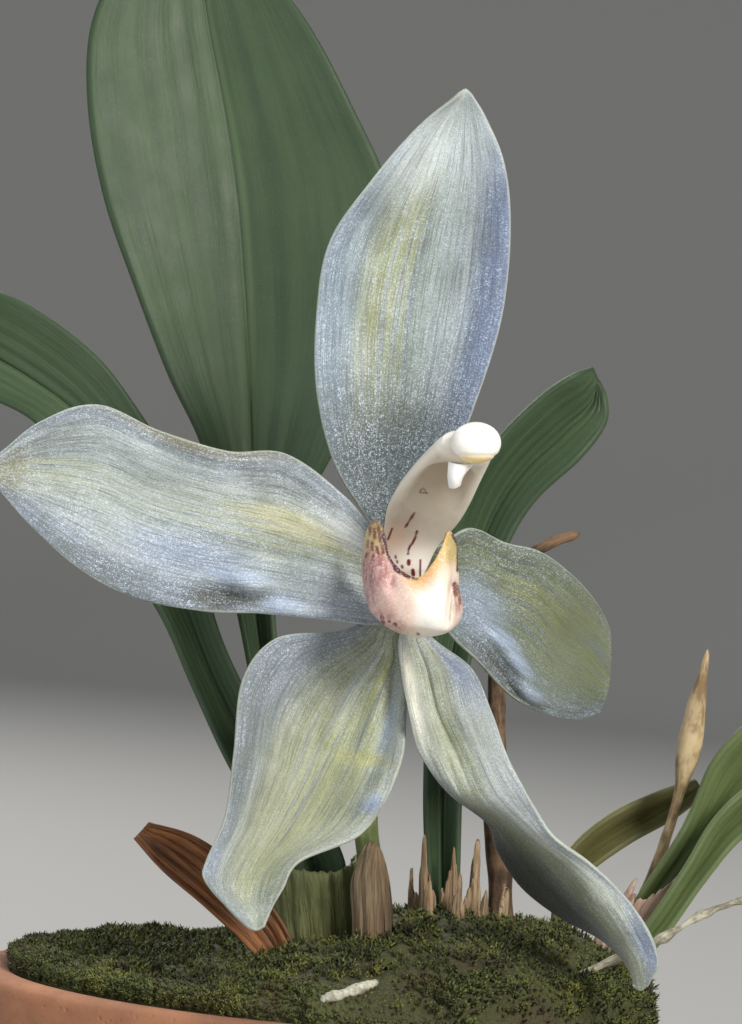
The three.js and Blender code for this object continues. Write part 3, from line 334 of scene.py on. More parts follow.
rings = turned_rings(pot_profile(), POT_SIDES)
around = np.arctan2(rings[..., 1], rings[..., 0])
wobble = 1 + 0.0025 * np.sin(3 * around + 0.08 * rings[..., 2]) + 0.0015 * np.sin(7 * around)
rings[..., :2] *= np.where(rings[..., 2] > 1, wobble, 1)[..., None]
count = len(rings)
pot_points = np.concatenate([rings.reshape(-1, 3), [[0, 0, 0], [0, 0, FLOOR_THICKNESS]]])
pot_caps = end_fans(count, POT_SIDES, len(pot_points) - 2, len(pot_points) - 1)[:, ::-1]
pot = make_piece("clay_pot", pot_points, [ring_faces(count, POT_SIDES), pot_caps], clay)
for number in range(3):
    angle = 2 * math.pi * number / 3 + DRAIN_TURN
    drill_rings = turned_rings([[DRAIN_RADIUS, -1], [DRAIN_RADIUS, FLOOR_THICKNESS + 1]], DRAIN_SIDES)
    drill_rings += [DRAIN_CIRCLE * math.cos(angle), DRAIN_CIRCLE * math.sin(angle), 0]
    ends = np.stack([np.arange(DRAIN_SIDES)[::-1], DRAIN_SIDES + np.arange(DRAIN_SIDES)])
    drill = make_piece("drill", drill_rings.reshape(-1, 3), [ring_faces(2, DRAIN_SIDES), ends], clay)
    hole = pot.modifiers.new("drain_hole", "BOOLEAN")
    hole.operation = "DIFFERENCE"
    hole.object = drill
    shown = pot.evaluated_get(bpy.context.evaluated_depsgraph_get())
    bored = bpy.data.meshes.new_from_object(shown)
    pot.modifiers.clear()
    pot.data = bored
    bpy.data.objects.remove(drill)
pot.data.name = "clay_pot"
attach(pot, "root")
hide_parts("pot")

# The potting mix. Chopped bark and coir, dark and damp, packed into the pot under the moss. Only its
# flat top and sides exist, hidden by the pot and the moss, so the plain solid stays.
BARK_DARK = (0.020, 0.012, 0.007, 1)
BARK_LIGHT = (0.120, 0.070, 0.040, 1)
bark, tree, shader = new_material("bark_mix")
chips = add(tree, "ShaderNodeTexVoronoi", {"Vector": object_place(tree), "Scale": 420.0})
feed(shader, {
    "Base Color": mix(chips.outputs["Color"], BARK_DARK, BARK_LIGHT), "Roughness": 0.95,
    "Normal": bumped(1.0, 0.0006, chips.outputs["Distance"]),
})
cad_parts["potting_mix"].data.materials.clear()
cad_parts["potting_mix"].data.materials.append(bark)

# The moss. A living mat of short stems that covers the mix, low at the left, mounded in the middle
# and right, where it climbs over the rim. Its shoots stand close together in tufts of olive and
# yellow-green, with brown dead stems between them. The mat beneath them is dark and browned: partly
# dead stems, partly painted shade under the shoots.
MOSS_EDGE = POT_HEIGHT + 0.95
MOSS_LOW = 0.5
MOSS_RISE = 4.5
MOSS_RISE_FROM = -11
MOSS_RISE_TO = 14
MOSS_LUMP = 0.45
MOSS_LIP = 1.0
MOSS_LIP_DROP = 2
MOSS_LIP_AT = -0.35
MOSS_LIP_SPREAD = 1.1
MOSS_SPOKES = 240
MOSS_RINGS = 60
MAT_DEAD_AND_SHADE = 0.25
MOSS_SHOOTS = 6400
SHARE_NEAR_EDGE = 0.3
SHARE_HANGING = 0.22
STUB_CLEARING = 0.35
LEAFLETS = 6
LEAFLET_HALF_WIDTH = 0.11
MOSS_DARK = (0.020, 0.023, 0.007, 1)
MOSS_OLIVE = (0.075, 0.092, 0.018, 1)
MOSS_BRIGHT = (0.240, 0.290, 0.065, 1)
MOSS_YELLOW = (0.340, 0.330, 0.060, 1)
MOSS_BROWN = (0.062, 0.038, 0.016, 1)


def moss_reach(angle):
    """Radius of the mat's edge: inside the rim, or just past it where the mat spills over."""
    off = np.arctan2(np.sin(angle - MOSS_LIP_AT), np.cos(angle - MOSS_LIP_AT))
    spill = np.exp(-((off / MOSS_LIP_SPREAD) ** 4))
    inside = RIM_RADIUS - WALL
    return inside + (RIM_RADIUS + MOSS_LIP - inside) * spill


def moss_top(x, y):
    """Height of the mat: a mound that rises to the right, with slow lumps and finer hummocks."""
    far = np.minimum(np.hypot(x, y) / moss_reach(np.arctan2(y, x)), 1)
    s = np.clip((x - MOSS_RISE_FROM) / (MOSS_RISE_TO - MOSS_RISE_FROM), 0, 1)
    rise = MOSS_LOW + MOSS_RISE * s * s * (3 - 2 * s)
    lumps = np.sin(0.9 * x + 1.3) * np.sin(0.8 * y + 0.7) + 0.7 * np.sin(0.5 * x - 1.1 * y)
    fine = 0.10 * np.sin(2.9 * x + 1.7 * y) * np.sin(2.3 * y - 1.2 * x)
    fine = fine + 0.06 * np.sin(5.3 * x) * np.sin(4.7 * y)
    return MOSS_EDGE + rise * np.sqrt(1 - far ** 5) + (MOSS_LUMP * lumps + fine) * (1 - far ** 4)


def marked(tree, name):
    """A value that the mesh carries at each point."""
    return add(tree, "ShaderNodeAttribute", attribute_name=name).outputs["Fac"]


moss_green, tree, shader = new_material("moss")
place = object_place(tree)
tip = marked(tree, "tip")
green = mix(cloudy(place, 160.0, 2.4), MOSS_DARK, MOSS_OLIVE)
green = mix(times(marked(tree, "tone"), tip), green, MOSS_BRIGHT)
yellow = fade(cloudy(place, 230.0, 3.2), 0.5, 0.95, 0.0, 0.8)
green = mix(times(yellow, tip), green, MOSS_YELLOW)
dead_patch = fade(cloudy(place, 170.0, 3.0), 0.6, 0.95, 0.0, 0.6)
green = mix(calc("MAXIMUM", marked(tree, "dead"), dead_patch), green, MOSS_BROWN)
feed(shader, {
    "Base Color": green, "Roughness": 0.7, "Subsurface Weight": 0.0,
    "Normal": bumped(1.0, 0.0005, noise(place, 3000.0, 3.0)),
})

angle = 2 * np.pi * np.arange(MOSS_SPOKES) / MOSS_SPOKES
share = (np.arange(1, MOSS_RINGS + 1) / MOSS_RINGS) ** 0.8
x = share[:, None] * moss_reach(angle) * np.cos(angle)
y = share[:, None] * moss_reach(angle) * np.sin(angle)
top = np.stack([x, y, moss_top(x, y)], axis=-1)
skirt = top[-1:].copy()
skirt[..., 2] = POT_HEIGHT - MOSS_LIP_DROP
under = skirt * [0.85, 0.85, 1] - [0, 0, 3]
mat_rings = np.concatenate([top, skirt, under])
mat_points = np.concatenate([mat_rings.reshape(-1, 3), [[0, 0, moss_top(0, 0)], [0, 0, under[0, 0, 2]]]])
mat_caps = end_fans(len(mat_rings), MOSS_SPOKES, len(mat_points) - 2, len(mat_points) - 1)
nothing = np.zeros(len(mat_points))
# The mat is kept dark and browned: partly dead stems, partly painted shade under the shoots.
moss_mat = make_piece(
    "moss_mat", mat_points, [ring_faces(len(mat_rings), MOSS_SPOKES)[:, ::-1], mat_caps], moss_green,
    values={"tone": nothing, "tip": nothing, "dead": nothing + MAT_DEAD_AND_SHADE},
)


def moss_shoots(name, seed):
    """Thousands of short leafy shoots: each is a leaning spine with six pointed leaflets in a spiral,
    every leaflet a thin three-sided spike. Place, lean, size and colour are drawn at random."""
    random = np.random.default_rng(seed)
    angle = random.uniform(0, 2 * np.pi, MOSS_SHOOTS)
    share = np.sqrt(random.uniform(0, 1, MOSS_SHOOTS))
    near_edge = random.uniform(0, 1, MOSS_SHOOTS) < SHARE_NEAR_EDGE
    share = np.where(near_edge, random.uniform(0.9, 1.0, MOSS_SHOOTS), share)
    x = share * moss_reach(angle) * np.cos(angle)
    y = share * moss_reach(angle) * np.sin(angle)
    hanging = random.uniform(0, 1, MOSS_SHOOTS) < SHARE_HANGING
    x = np.where(hanging, moss_reach(angle) * np.cos(angle), x)
    y = np.where(hanging, moss_reach(angle) * np.sin(angle), y)
    share = np.where(hanging, 1, share)
    spilled = np.clip(np.hypot(x, y) - RIM_RADIUS + 0.6, 0, 1)
    side_height = 0.9 + (MOSS_EDGE - POT_HEIGHT + MOSS_LIP_DROP - 0.9) * spilled
    low = hanging * side_height * random.uniform(0, 1, MOSS_SHOOTS)
    foot = np.stack([x, y, moss_top(x, y) - 0.15 - low], axis=-1)
    tall = random.uniform(0.45, 1.0, MOSS_SHOOTS) * (1 - 0.25 * share ** 8)
    tall = tall * (1 + 0.5 * np.sin(0.7 * x + 0.4 * y) * np.sin(0.6 * y))
    tall = tall * np.where((x > 0.6) & (x < 6.4) & (y < -21.3), STUB_CLEARING, 1)
    outward = np.stack([x, y, np.zeros_like(x)], axis=-1) / RIM_RADIUS * (share ** 6)[:, None] * 1.2
    lean = np.array([0, 0, 1]) + outward + random.normal(0, 0.28, (MOSS_SHOOTS, 3))
    lean /= np.linalg.norm(lean, axis=1, keepdims=True)
    side = np.cross(lean, random.normal(0, 1, (MOSS_SHOOTS, 3)))
    side /= np.linalg.norm(side, axis=1, keepdims=True)
    other = np.cross(lean, side)
    k = np.arange(LEAFLETS)
    spin = 2.4 * k
    start = foot[:, None] + lean[:, None] * (tall[:, None] * (0.15 + 0.75 * k / LEAFLETS))[..., None]
    out = side[:, None] * np.cos(spin)[:, None] + other[:, None] * np.sin(spin)[:, None]
    across = np.cross(lean[:, None] * np.ones((1, LEAFLETS, 1)), out)
    length = (tall * 0.62)[:, None] * (1 - 0.35 * k / LEAFLETS)
    point = start + (out * 0.75 + lean[:, None] * 0.8) * length[..., None]
    left = start + across * LEAFLET_HALF_WIDTH
    right = start - across * LEAFLET_HALF_WIDTH
    below = start - lean[:, None] * LEAFLET_HALF_WIDTH * 0.9 + out * 0.03
    corners = np.stack([point, left, right, below], axis=2).reshape(-1, 3)
    base = 4 * np.arange(MOSS_SHOOTS * LEAFLETS)[:, None]
    faces = np.concatenate([base + [0, 1, 2], base + [0, 3, 1], base + [0, 2, 3], base + [1, 3, 2]])
    bright = random.uniform(0.1, 1.0, MOSS_SHOOTS) ** 1.6
    brown = (random.uniform(0, 1, MOSS_SHOOTS) < 0.14 + 0.10 * np.sin(0.5 * x)) * 0.85
    spread = np.repeat(bright, LEAFLETS * 4)
    ends = np.tile([1, 0.35, 0.35, 0.2], MOSS_SHOOTS * LEAFLETS)
    return make_piece(name, corners, [faces], moss_green, values={
        "tone": spread, "tip": ends, "dead": np.repeat(brown, LEAFLETS * 4),
    })


moss_pieces = [moss_mat, moss_shoots("moss_shoots_young", 3), moss_shoots("moss_shoots_old", 8)]
for piece in moss_pieces:
    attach(piece, "root")
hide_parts("moss")

# The roots. A bare grey-green root, thin and knotted, lies over the moss and reaches out to the
# right, and a short white living stub lies on the moss in front.
AERIAL_ROOT = [
    [20, -12, 53.4], [22.2, -12.4, 54.9], [25, -12.8, 56.4], [27, -11.8, 57.5], [29.5, -9.8, 59],
    [33, -8, 60.4], [36.5, -6, 61],
]
ROOT_STUB = [[1.3, -23.7, 51.8], [2.7, -23.6, 52.3], [4, -23.3, 52.8], [5.4, -22.7, 53.4]]


def between_points(before, start, end, after, w):
    """The Catmull-Rom blend of four points, a share w of the way from the second to the third."""
    slope, next_slope = (end - before) / 2, (after - start) / 2
    return ((2 * w ** 3 - 3 * w ** 2 + 1) * start + (w ** 3 - 2 * w ** 2 + w) * slope
            + (-2 * w ** 3 + 3 * w ** 2) * end + (w ** 3 - w ** 2) * next_slope)


def smooth_curve(points, t):
    """A Catmull-Rom curve through points, with t from 0 to 1 and its ends carried straight on."""
    points = np.asarray(points, dtype=float)
    held = np.concatenate([2 * points[:1] - points[1:2], points, 2 * points[-1:] - points[-2:-1]])
    place = np.clip(np.asarray(t), 0, 1) * (len(points) - 1)
    k = np.minimum(place.astype(int), len(points) - 2)
    w = (place - k).reshape(-1, *[1] * (points.ndim - 1))
    return between_points(held[k], held[k + 1], held[k + 2], held[k + 3], w)


def along_path(points, steps):
    """Evenly spaced places along a smooth curve, and at each the forward direction and two more at
    right angles to it that don't twist from place to place."""
    dense = smooth_curve(points, np.linspace(0, 1, 600))
    travelled = np.concatenate([[0], np.cumsum(np.linalg.norm(np.diff(dense, axis=0), axis=1))])
    wanted = np.linspace(0, travelled[-1], steps + 1)
    centre = np.stack([np.interp(wanted, travelled, dense[:, c]) for c in range(3)], axis=-1)
    forward = np.gradient(centre, axis=0)
    forward /= np.linalg.norm(forward, axis=1, keepdims=True)
    side = np.cross(forward, [0.0, 1.0, 0.0])
    side /= np.linalg.norm(side, axis=1, keepdims=True)
    return centre, forward, side, np.cross(side, forward)


def stalk_piece(name, points, radii, material, steps=140, sides=20, rough=0.0, seed=1):
    """A round stalk: rings of points round a smooth curve, with the radius run smoothly through a
    list of values and roughened by a few waves, closed at both ends by a small dome."""
    centre, forward, side, other = along_path(points, steps)
    t = np.linspace(0, 1, steps + 1)
    radius = smooth_curve(np.asarray(radii, dtype=float)[:, None], t)[:, 0]
    random = np.random.default_rng(seed)
    angle = 2 * np.pi * np.arange(sides) / sides
    waves = [
        np.sin(random.uniform(20, 90) * t[:, None] + random.integers(1, 4) * angle + random.uniform(0, 6)) / 5
        for _ in range(5)
    ]
    dome = np.minimum(1, np.sqrt(np.minimum(t, 1 - t) * steps / 2 + 0.02))
    reach = radius[:, None] * (1 + rough * sum(waves)) * dome[:, None]
    around = side[:, None] * np.cos(angle)[:, None] + other[:, None] * np.sin(angle)[:, None]
    rings = centre[:, None] + around * reach[..., None]
    points = np.concatenate([rings.reshape(-1, 3), centre[:1], centre[-1:]])
    caps = end_fans(steps + 1, sides, len(points) - 2, len(points) - 1)
    uv = np.stack([np.tile(np.arange(sides) / sides, steps + 1), np.repeat(t, sides)], axis=-1)
    uv = np.concatenate([uv, [[0, 0], [0, 1]]])
    piece = make_piece(name, points, [ring_faces(steps + 1, sides)[:, ::-1], caps], material, uv=uv)
    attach(piece, "root")
    return piece


def bark_like(name, low, high, scale, roughness, depth):
    """A dry or living stalk's skin: two colours in patches drawn out along it, with fine grain."""
    material, tree, shader = new_material(name)
    uv = add(tree, "ShaderNodeUVMap").outputs[0]
    drawn_out = add(tree, "ShaderNodeMapping", {"Vector": uv, "Scale": (14.0, 26.0, 1.0)}).outputs[0]
    grain = noise(drawn_out, 1.0, 5.0)
    cloud = cloudy(object_place(tree), scale, 2.4)
    mask = calc("MULTIPLY_ADD", calc("SUBTRACT", grain, 0.5), 0.9, cloud)
    feed(shader, {
        "Base Color": mix(fade(mask, 0.15, 0.85), low, high), "Roughness": roughness,
        "Normal": bumped(0.8, depth, grain),
    })
    return material


root_skin = bark_like("root_skin", (0.14, 0.125, 0.08, 1), (0.46, 0.44, 0.34, 1), 500.0, 0.75, 0.00008)
stub_skin = bark_like("stub_skin", (0.26, 0.24, 0.17, 1), (0.58, 0.57, 0.48, 1), 800.0, 0.6, 0.00004)
KNOTS = [0.34, 0.36, 0.26, 0.40, 0.28, 0.26, 0.42, 0.25, 0.24, 0.38, 0.23, 0.24, 0.34, 0.22, 0.22, 0.18]
STUB_RADII = [0.22, 0.44, 0.34, 0.46, 0.36, 0.2]
aerial_root = stalk_piece("bare_root", AERIAL_ROOT, KNOTS, root_skin, steps=180, rough=0.16, seed=4)
root_stub = stalk_piece("white_root_stub", ROOT_STUB, STUB_RADII, stub_skin, steps=60, rough=0.2, seed=9)
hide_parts("aerial_root")
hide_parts("root_stub")

# The leaves. Each is one leathery blade, folded along its midrib and narrowing into a channelled
# stalk. Three large ones fan out behind the flower, and three small ones make a young shoot at the
# right. Rows are left edge, midrib and right edge, from the foot in the moss to the tip.
LEAF_THICKNESS = 0.75
FOOT = 47.5
SHOOT_FOOT = 50.8
LEAF_REAR = [
    [[0.7, 6, FOOT], [1.9, 7.4, FOOT], [3.1, 6, FOOT]],
    [[-0.7, 6.5, 56], [0.5, 8.2, 56], [1.7, 6.5, 56]],
    [[-4.6, 7, 66.8], [-3.4, 9, 66.6], [-2.1, 7, 67]],
    [[-7.7, 8, 77.5], [-6.4, 10, 77.3], [-5.1, 8, 77.7]],
    [[-9.8, 9, 84], [-7.4, 11.5, 84], [-4.7, 9, 84.5]],
    [[-12, 9.5, 91.3], [-8.2, 13, 91.3], [-1.5, 9.5, 92.3]],
    [[-15.5, 10, 97.3], [-9, 13.5, 98], [1.2, 10, 99.2]],
    [[-19, 10.5, 104.5], [-10, 14, 105], [2, 10.5, 106.5]],
    [[-22, 11.5, 111.2], [-11.3, 14.5, 112.5], [1, 11.5, 113.7]],
    [[-24, 12.5, 118.4], [-13, 15.5, 119.5], [-2.5, 12.5, 120.2]],
    [[-24.5, 14, 125], [-15, 16.5, 126.5], [-6.5, 14, 126.5]],
    [[-22.8, 15.5, 130.7], [-16.3, 17.5, 132], [-10.8, 15.5, 131.6]],
    [[-20.3, 17.5, 135], [-17.3, 18.5, 136.1], [-14.1, 17.5, 135.2]],
    [[-18.4, 19, 137.4], [-17.6, 19, 137.8], [-16.8, 19, 137.5]],
]
LEAF_LEFT = [
    [[-0.6, 0, FOOT], [1, 2, FOOT], [2.6, 0, FOOT]],
    [[-1, 0, 54.5], [0.7, 2.4, 54.5], [2.6, 0, 54.7]],
    [[-2.1, 0, 60], [-0.3, 2.8, 59.8], [1.9, 0, 60.4]],
    [[-7, 1, 66], [-5, 3.6, 65.7], [-2.8, 1, 66.7]],
    [[-11, 3, 72.6], [-9.4, 5.3, 72.6], [-7.6, 3, 73.6]],
    [[-14.1, 4, 78], [-12.2, 6.5, 77.9], [-10.2, 4, 78.8]],
    [[-19, 5, 84], [-16.5, 7.5, 86], [-13.4, 5.5, 88]],
    [[-24.5, 6, 91.5], [-21.5, 8.5, 92.4], [-17.5, 6.5, 94]],
    [[-29, 7, 93.9], [-26, 9.5, 95.5], [-22, 7.5, 98.6]],
    [[-34, 8, 95.1], [-31.5, 10.5, 98], [-28.9, 8.5, 102.3]],
    [[-38, 9, 96.2], [-36.5, 11, 99.3], [-34.6, 9.5, 102.2]],
    [[-41.2, 10.5, 98], [-40.8, 11.5, 99.5], [-40, 10.5, 101]],
    [[-42.9, 12, 98.9], [-43, 12, 99.4], [-42.7, 12, 99.9]],
]
LEAF_RIGHT = [
    [[9.7, 6, FOOT], [10.9, 7.4, FOOT], [12.1, 6, FOOT]],
    [[9.1, 6, 57], [10.3, 8, 56.8], [11.5, 6, 57]],
    [[8.2, 6.5, 65], [9.6, 8.5, 65], [11, 6.5, 65.4]],
    [[7.8, 8, 73.5], [9.2, 10, 73.3], [10.6, 8, 73.7]],
    [[8.1, 9, 80.9], [9.8, 11.5, 80.4], [11.6, 9, 80]],
    [[9.1, 9.5, 88.9], [11.4, 12.5, 87.3], [13.2, 10, 86]],
    [[11.5, 10, 94], [13.5, 13, 91.7], [15.2, 10.5, 89.8]],
    [[14.8, 10.5, 98], [16.6, 13.5, 95.4], [18.4, 11, 93.3]],
    [[17.3, 11, 100], [18.9, 13.5, 97.8], [20.3, 12, 96.3]],
    [[18.8, 12.5, 100.8], [19.5, 13, 99.8], [20.1, 12.5, 98.8]],
]
SHOOT_UPPER = [
    [[21.9, 3, SHOOT_FOOT], [22.6, 4, SHOOT_FOOT], [23.3, 3, SHOOT_FOOT]],
    [[25, 3, 57.6], [25.8, 4.2, 57.2], [26.5, 3, 56.8]],
    [[28, 3.5, 63], [28.9, 5, 62.5], [29.6, 3.5, 62.1]],
    [[29.3, 4, 65.8], [30.5, 6, 65], [31.3, 4, 64.4]],
    [[30.7, 4.5, 69.9], [32.7, 7, 68.9], [33.9, 5, 68.1]],
    [[32.9, 5, 72.9], [35, 7.5, 71.7], [36.5, 5.5, 70.9]],
    [[35.5, 6, 75.7], [37.3, 8, 74.7], [38.6, 6.5, 74]],
    [[38.3, 8, 78.6], [39, 8.5, 78], [39.6, 8, 77.5]],
]
SHOOT_LOWER = [
    [[21.8, -2, SHOOT_FOOT], [22.5, -1, SHOOT_FOOT], [23.2, -2, SHOOT_FOOT]],
    [[26, -2, 57], [26.7, -0.8, 56.6], [27.4, -2, 56.2]],
    [[28.8, -1, 61.8], [29.6, 0.6, 61.2], [30.3, -1, 60.8]],
    [[30.8, 0, 65.6], [31.8, 2, 64.8], [32.7, 0, 64.1]],
    [[33.4, 1, 68.5], [34.7, 3, 67.5], [35.7, 1, 66.7]],
    [[36.7, 3, 70.7], [37.5, 4, 70], [38.2, 3, 69.4]],
    [[39, 5, 71.9], [39.4, 5, 71.3], [39.8, 5, 70.8]],
]
SHOOT_OLIVE = [
    [[19.5, 9, SHOOT_FOOT], [20.2, 10, SHOOT_FOOT], [20.9, 9, SHOOT_FOOT]],
    [[19.5, 9.5, 58.4], [20.2, 11, 58], [20.9, 9.5, 58]],
    [[20.5, 10, 61.7], [21.3, 12, 60.7], [22.1, 10, 60.1]],
    [[23.4, 11, 64.6], [24.5, 13, 63.4], [25.2, 11, 62.6]],
    [[27, 12, 66.6], [28, 14, 65.5], [28.6, 12, 64.8]],
    [[30.3, 14, 67.9], [30.8, 14.5, 67.3], [31.2, 14, 66.8]],
]


def folded_surface(rows, along, across, fold_power):
    """A folded blade: three smooth curves for left edge, midrib and right edge, and between them a
    fold that leaves the midrib as the distance from it, from 0 to 1, to a power."""
    t = np.linspace(0, 1, along + 1)
    net = smooth_curve(np.asarray(rows, dtype=float), t)
    left, midrib, right = net[:, 0], net[:, 1], net[:, 2]
    s = np.linspace(-1, 1, across + 1)[None, :, None]
    half_span = ((right - left) / 2)[:, None]
    rise = ((left + right) / 2 - midrib)[:, None]
    return midrib[:, None] + half_span * s + rise * np.abs(s) ** fold_power


def sheet_piece(name, grid, thickness, material, edge_share=0.35, values=None):
    """A thin solid sheet: two copies of a grid set apart along its normals and joined round the
    margin, thinner within half a millimetre of the margin. Each point keeps its UV, its distance to the
    margin in millimetres and a value that is 0 on the front and 1 on the back."""
    rows, columns = grid.shape[:2]
    normal = np.cross(np.gradient(grid, axis=0), np.gradient(grid, axis=1))
    normal /= np.maximum(np.linalg.norm(normal, axis=-1, keepdims=True), 1e-9)
    normal = np.where(normal[..., 1:2].mean() > 0, -normal, normal)
    step_across = np.linalg.norm(np.diff(grid, axis=1), axis=-1)
    from_left = np.concatenate([np.zeros((rows, 1)), np.cumsum(step_across, axis=1)], axis=1)
    to_side = np.minimum(from_left, from_left[:, -1:] - from_left)
    step_along = np.linalg.norm(np.diff(grid, axis=0), axis=-1)
    from_foot = np.concatenate([np.zeros((1, columns)), np.cumsum(step_along, axis=0)], axis=0)
    margin = np.minimum(to_side, from_foot[-1:] - from_foot)
    thin = thickness * (edge_share + (1 - edge_share) * np.clip(margin / 0.8, 0, 1) ** 0.5)
    front = grid + normal * thin[..., None] / 2
    back = grid - normal * thin[..., None] / 2
    i, j = np.meshgrid(np.arange(rows - 1), np.arange(columns - 1), indexing="ij")
    a = (i * columns + j).ravel()
    quads = np.stack([a, a + 1, a + columns + 1, a + columns], axis=-1)
    half = rows * columns
    edge = np.concatenate([
        np.arange(columns - 1),
        np.arange(rows - 1) * columns + columns - 1,
        (rows - 1) * columns + np.arange(columns - 1, 0, -1),
        np.arange(rows - 1, 0, -1) * columns,
    ])
    after = np.roll(edge, -1)
    rim = np.stack([edge, half + edge, half + after, after], axis=-1)
    faces = np.concatenate([quads, quads[:, ::-1] + half, rim])
    points = np.concatenate([front.reshape(-1, 3), back.reshape(-1, 3)])
    p = points[faces]
    volume = np.einsum("ij,ij->i", p[:, 0], np.cross(p[:, 1], p[:, 2])).sum()
    volume += np.einsum("ij,ij->i", p[:, 0], np.cross(p[:, 2], p[:, 3])).sum()
    if volume < 0:
        faces = faces[:, ::-1]
    v, u = np.meshgrid(np.linspace(0, 1, rows), np.linspace(0, 1, columns), indexing="ij")
    uv = np.tile(np.stack([u.ravel(), v.ravel()], axis=-1), (2, 1))
    kept = {"margin": np.tile(margin.ravel(), 2), "back": np.repeat([0.0, 1.0], half)}
    for key, value in (values or {}).items():
        kept[key] = np.tile(np.asarray(value).ravel(), 2)
    piece = make_piece(name, points, [faces], material, uv=uv, values=kept)
    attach(piece, "root")
    return piece


# Fine lines that run lengthwise on a blade or petal: noise on the UV, stretched along it.
streaks, given, result = new_group(
    "lengthwise_streaks",
    [("Vector", "NodeSocketVector"), ("Across", "NodeSocketFloat"), ("Along", "NodeSocketFloat")],
    ["Value"],
)
parts = add(streaks, "ShaderNodeSeparateXYZ", {0: given.outputs["Vector"]})
stretched = add(streaks, "ShaderNodeCombineXYZ", {
    0: times(parts.outputs["X"], given.outputs["Across"]),
    1: times(parts.outputs["Y"], given.outputs["Along"]),
})
lines = noise(stretched.outputs[0], 1.0, 4.0, Roughness=0.55)
streaks.links.new(fade(lines, 0.28, 0.72), result.inputs["Value"])


def lengthwise(uv, across, along):
    """Lengthwise streaks from the shared group."""
    inputs = {"Vector": uv, "Across": across, "Along": along}
    return add(uv.id_data, "ShaderNodeGroup", inputs, node_tree=streaks).outputs["Value"]


def distance_from(value, at):
    """How far a value is from another, whichever is the greater."""
    return calc("ABSOLUTE", calc("SUBTRACT", value, at))


def leaf_material(name, low, middle, high, veins):
    """Leathery leaf: green in slow patches and fine lengthwise lines, a pale line along the midrib that is a
    painted highlight beside a dark one that is painted shade in its groove, tiny pale dots, a dark margin,
    and a paler back."""
    material, tree, shader = new_material(name)
    place = object_place(tree)
    uv = add(tree, "ShaderNodeUVMap").outputs[0]
    u = add(tree, "ShaderNodeSeparateXYZ", {0: uv}).outputs["X"]
    fine = lengthwise(uv, veins * 4.0, 9.0)
    broad = lengthwise(uv, veins, 2.0)
    green = mix(cloudy(place, 70.0, 2.0), low, middle)
    green = mix(times(broad, 0.32), green, high)
    green = mix(times(fine, 0.20), green, low)
    # Painted highlight, a pale line just beside the midrib.
    green = mix(fade(distance_from(u, 0.525), 0.0, 0.022, 0.85, 0.0), green, high)
    # Painted shade, a dark line in the midrib's groove.
    green = mix(fade(distance_from(u, 0.5), 0.0, 0.012, 0.9, 0.0), green, low)
    dots = add(tree, "ShaderNodeTexVoronoi", {"Vector": place, "Scale": 2600.0}).outputs["Distance"]
    green = mix(fade(dots, 0.08, 0.22, 0.35, 0.0), green, high)
    green = mix(fade(marked(tree, "margin"), 0.15, 0.55, 0.6, 0.0), green, low)
    green = mix(times(marked(tree, "back"), 0.35), green, high)
    grain = noise(place, 2400.0, 2.0)
    relief = calc("MULTIPLY_ADD", fine, 0.6, times(grain, 0.8))
    feed(shader, {
        "Base Color": green, "Roughness": fade(cloudy(place, 260.0, 1.4), 0.0, 1.0, 0.50, 0.64),
        "Normal": bumped(0.5, 0.00006, relief), "Specular IOR Level": 0.35, "Subsurface Weight": 0.08,
        "Subsurface Radius": (0.4, 0.8, 0.2), "Subsurface Scale": 0.0012,
    })
    return material


leaf_green = leaf_material(
    "leaf_green", (0.024, 0.046, 0.020, 1), (0.056, 0.092, 0.046, 1), (0.092, 0.140, 0.066, 1), 12.0,
)
shoot_green = leaf_material(
    "shoot_green", (0.060, 0.090, 0.030, 1), (0.120, 0.165, 0.060, 1), (0.240, 0.290, 0.120, 1), 6.0,
)
shoot_olive = leaf_material(
    "shoot_olive", (0.070, 0.070, 0.022, 1), (0.140, 0.130, 0.045, 1), (0.260, 0.230, 0.090, 1), 5.0,
)
# Of each leaf: its net, its steps along and across, the power of its fold, its wave and its green.
LEAVES = {
    "leaf_rear": (LEAF_REAR, 170, 56, 1.35, 0.25, leaf_green),
    "leaf_left": (LEAF_LEFT, 150, 40, 1.25, 0.15, leaf_green),
    "leaf_right": (LEAF_RIGHT, 130, 36, 1.2, 0.12, leaf_green),
    "shoot_leaf_upper": (SHOOT_UPPER, 90, 24, 1.2, 0.05, shoot_green),
    "shoot_leaf_lower": (SHOOT_LOWER, 90, 24, 1.2, 0.05, shoot_green),
    "shoot_leaf_olive": (SHOOT_OLIVE, 80, 24, 1.2, 0.05, shoot_olive),
}
for name, (rows, along, across, fold, wave, green) in LEAVES.items():
    grid = folded_surface(rows, along, across, fold)
    t = np.linspace(0, 1, along + 1)[:, None]
    s = np.linspace(-1, 1, across + 1)[None, :]
    ribs = 0.05 * np.cos(9 * np.pi * s) * (1 - s ** 2)
    crease = 0.28 * np.exp(-((s / 0.05) ** 2))
    ripple = wave * np.abs(s) ** 3 * np.sin(21 * t + 1.5 * np.sign(s))
    grid[..., 1] += (ribs + crease + ripple) * np.clip(6 * t * (1 - t) * 2, 0, 1)
    piece = sheet_piece(f"{name}_blade", grid, LEAF_THICKNESS, green, edge_share=0.5)
    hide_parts(name)

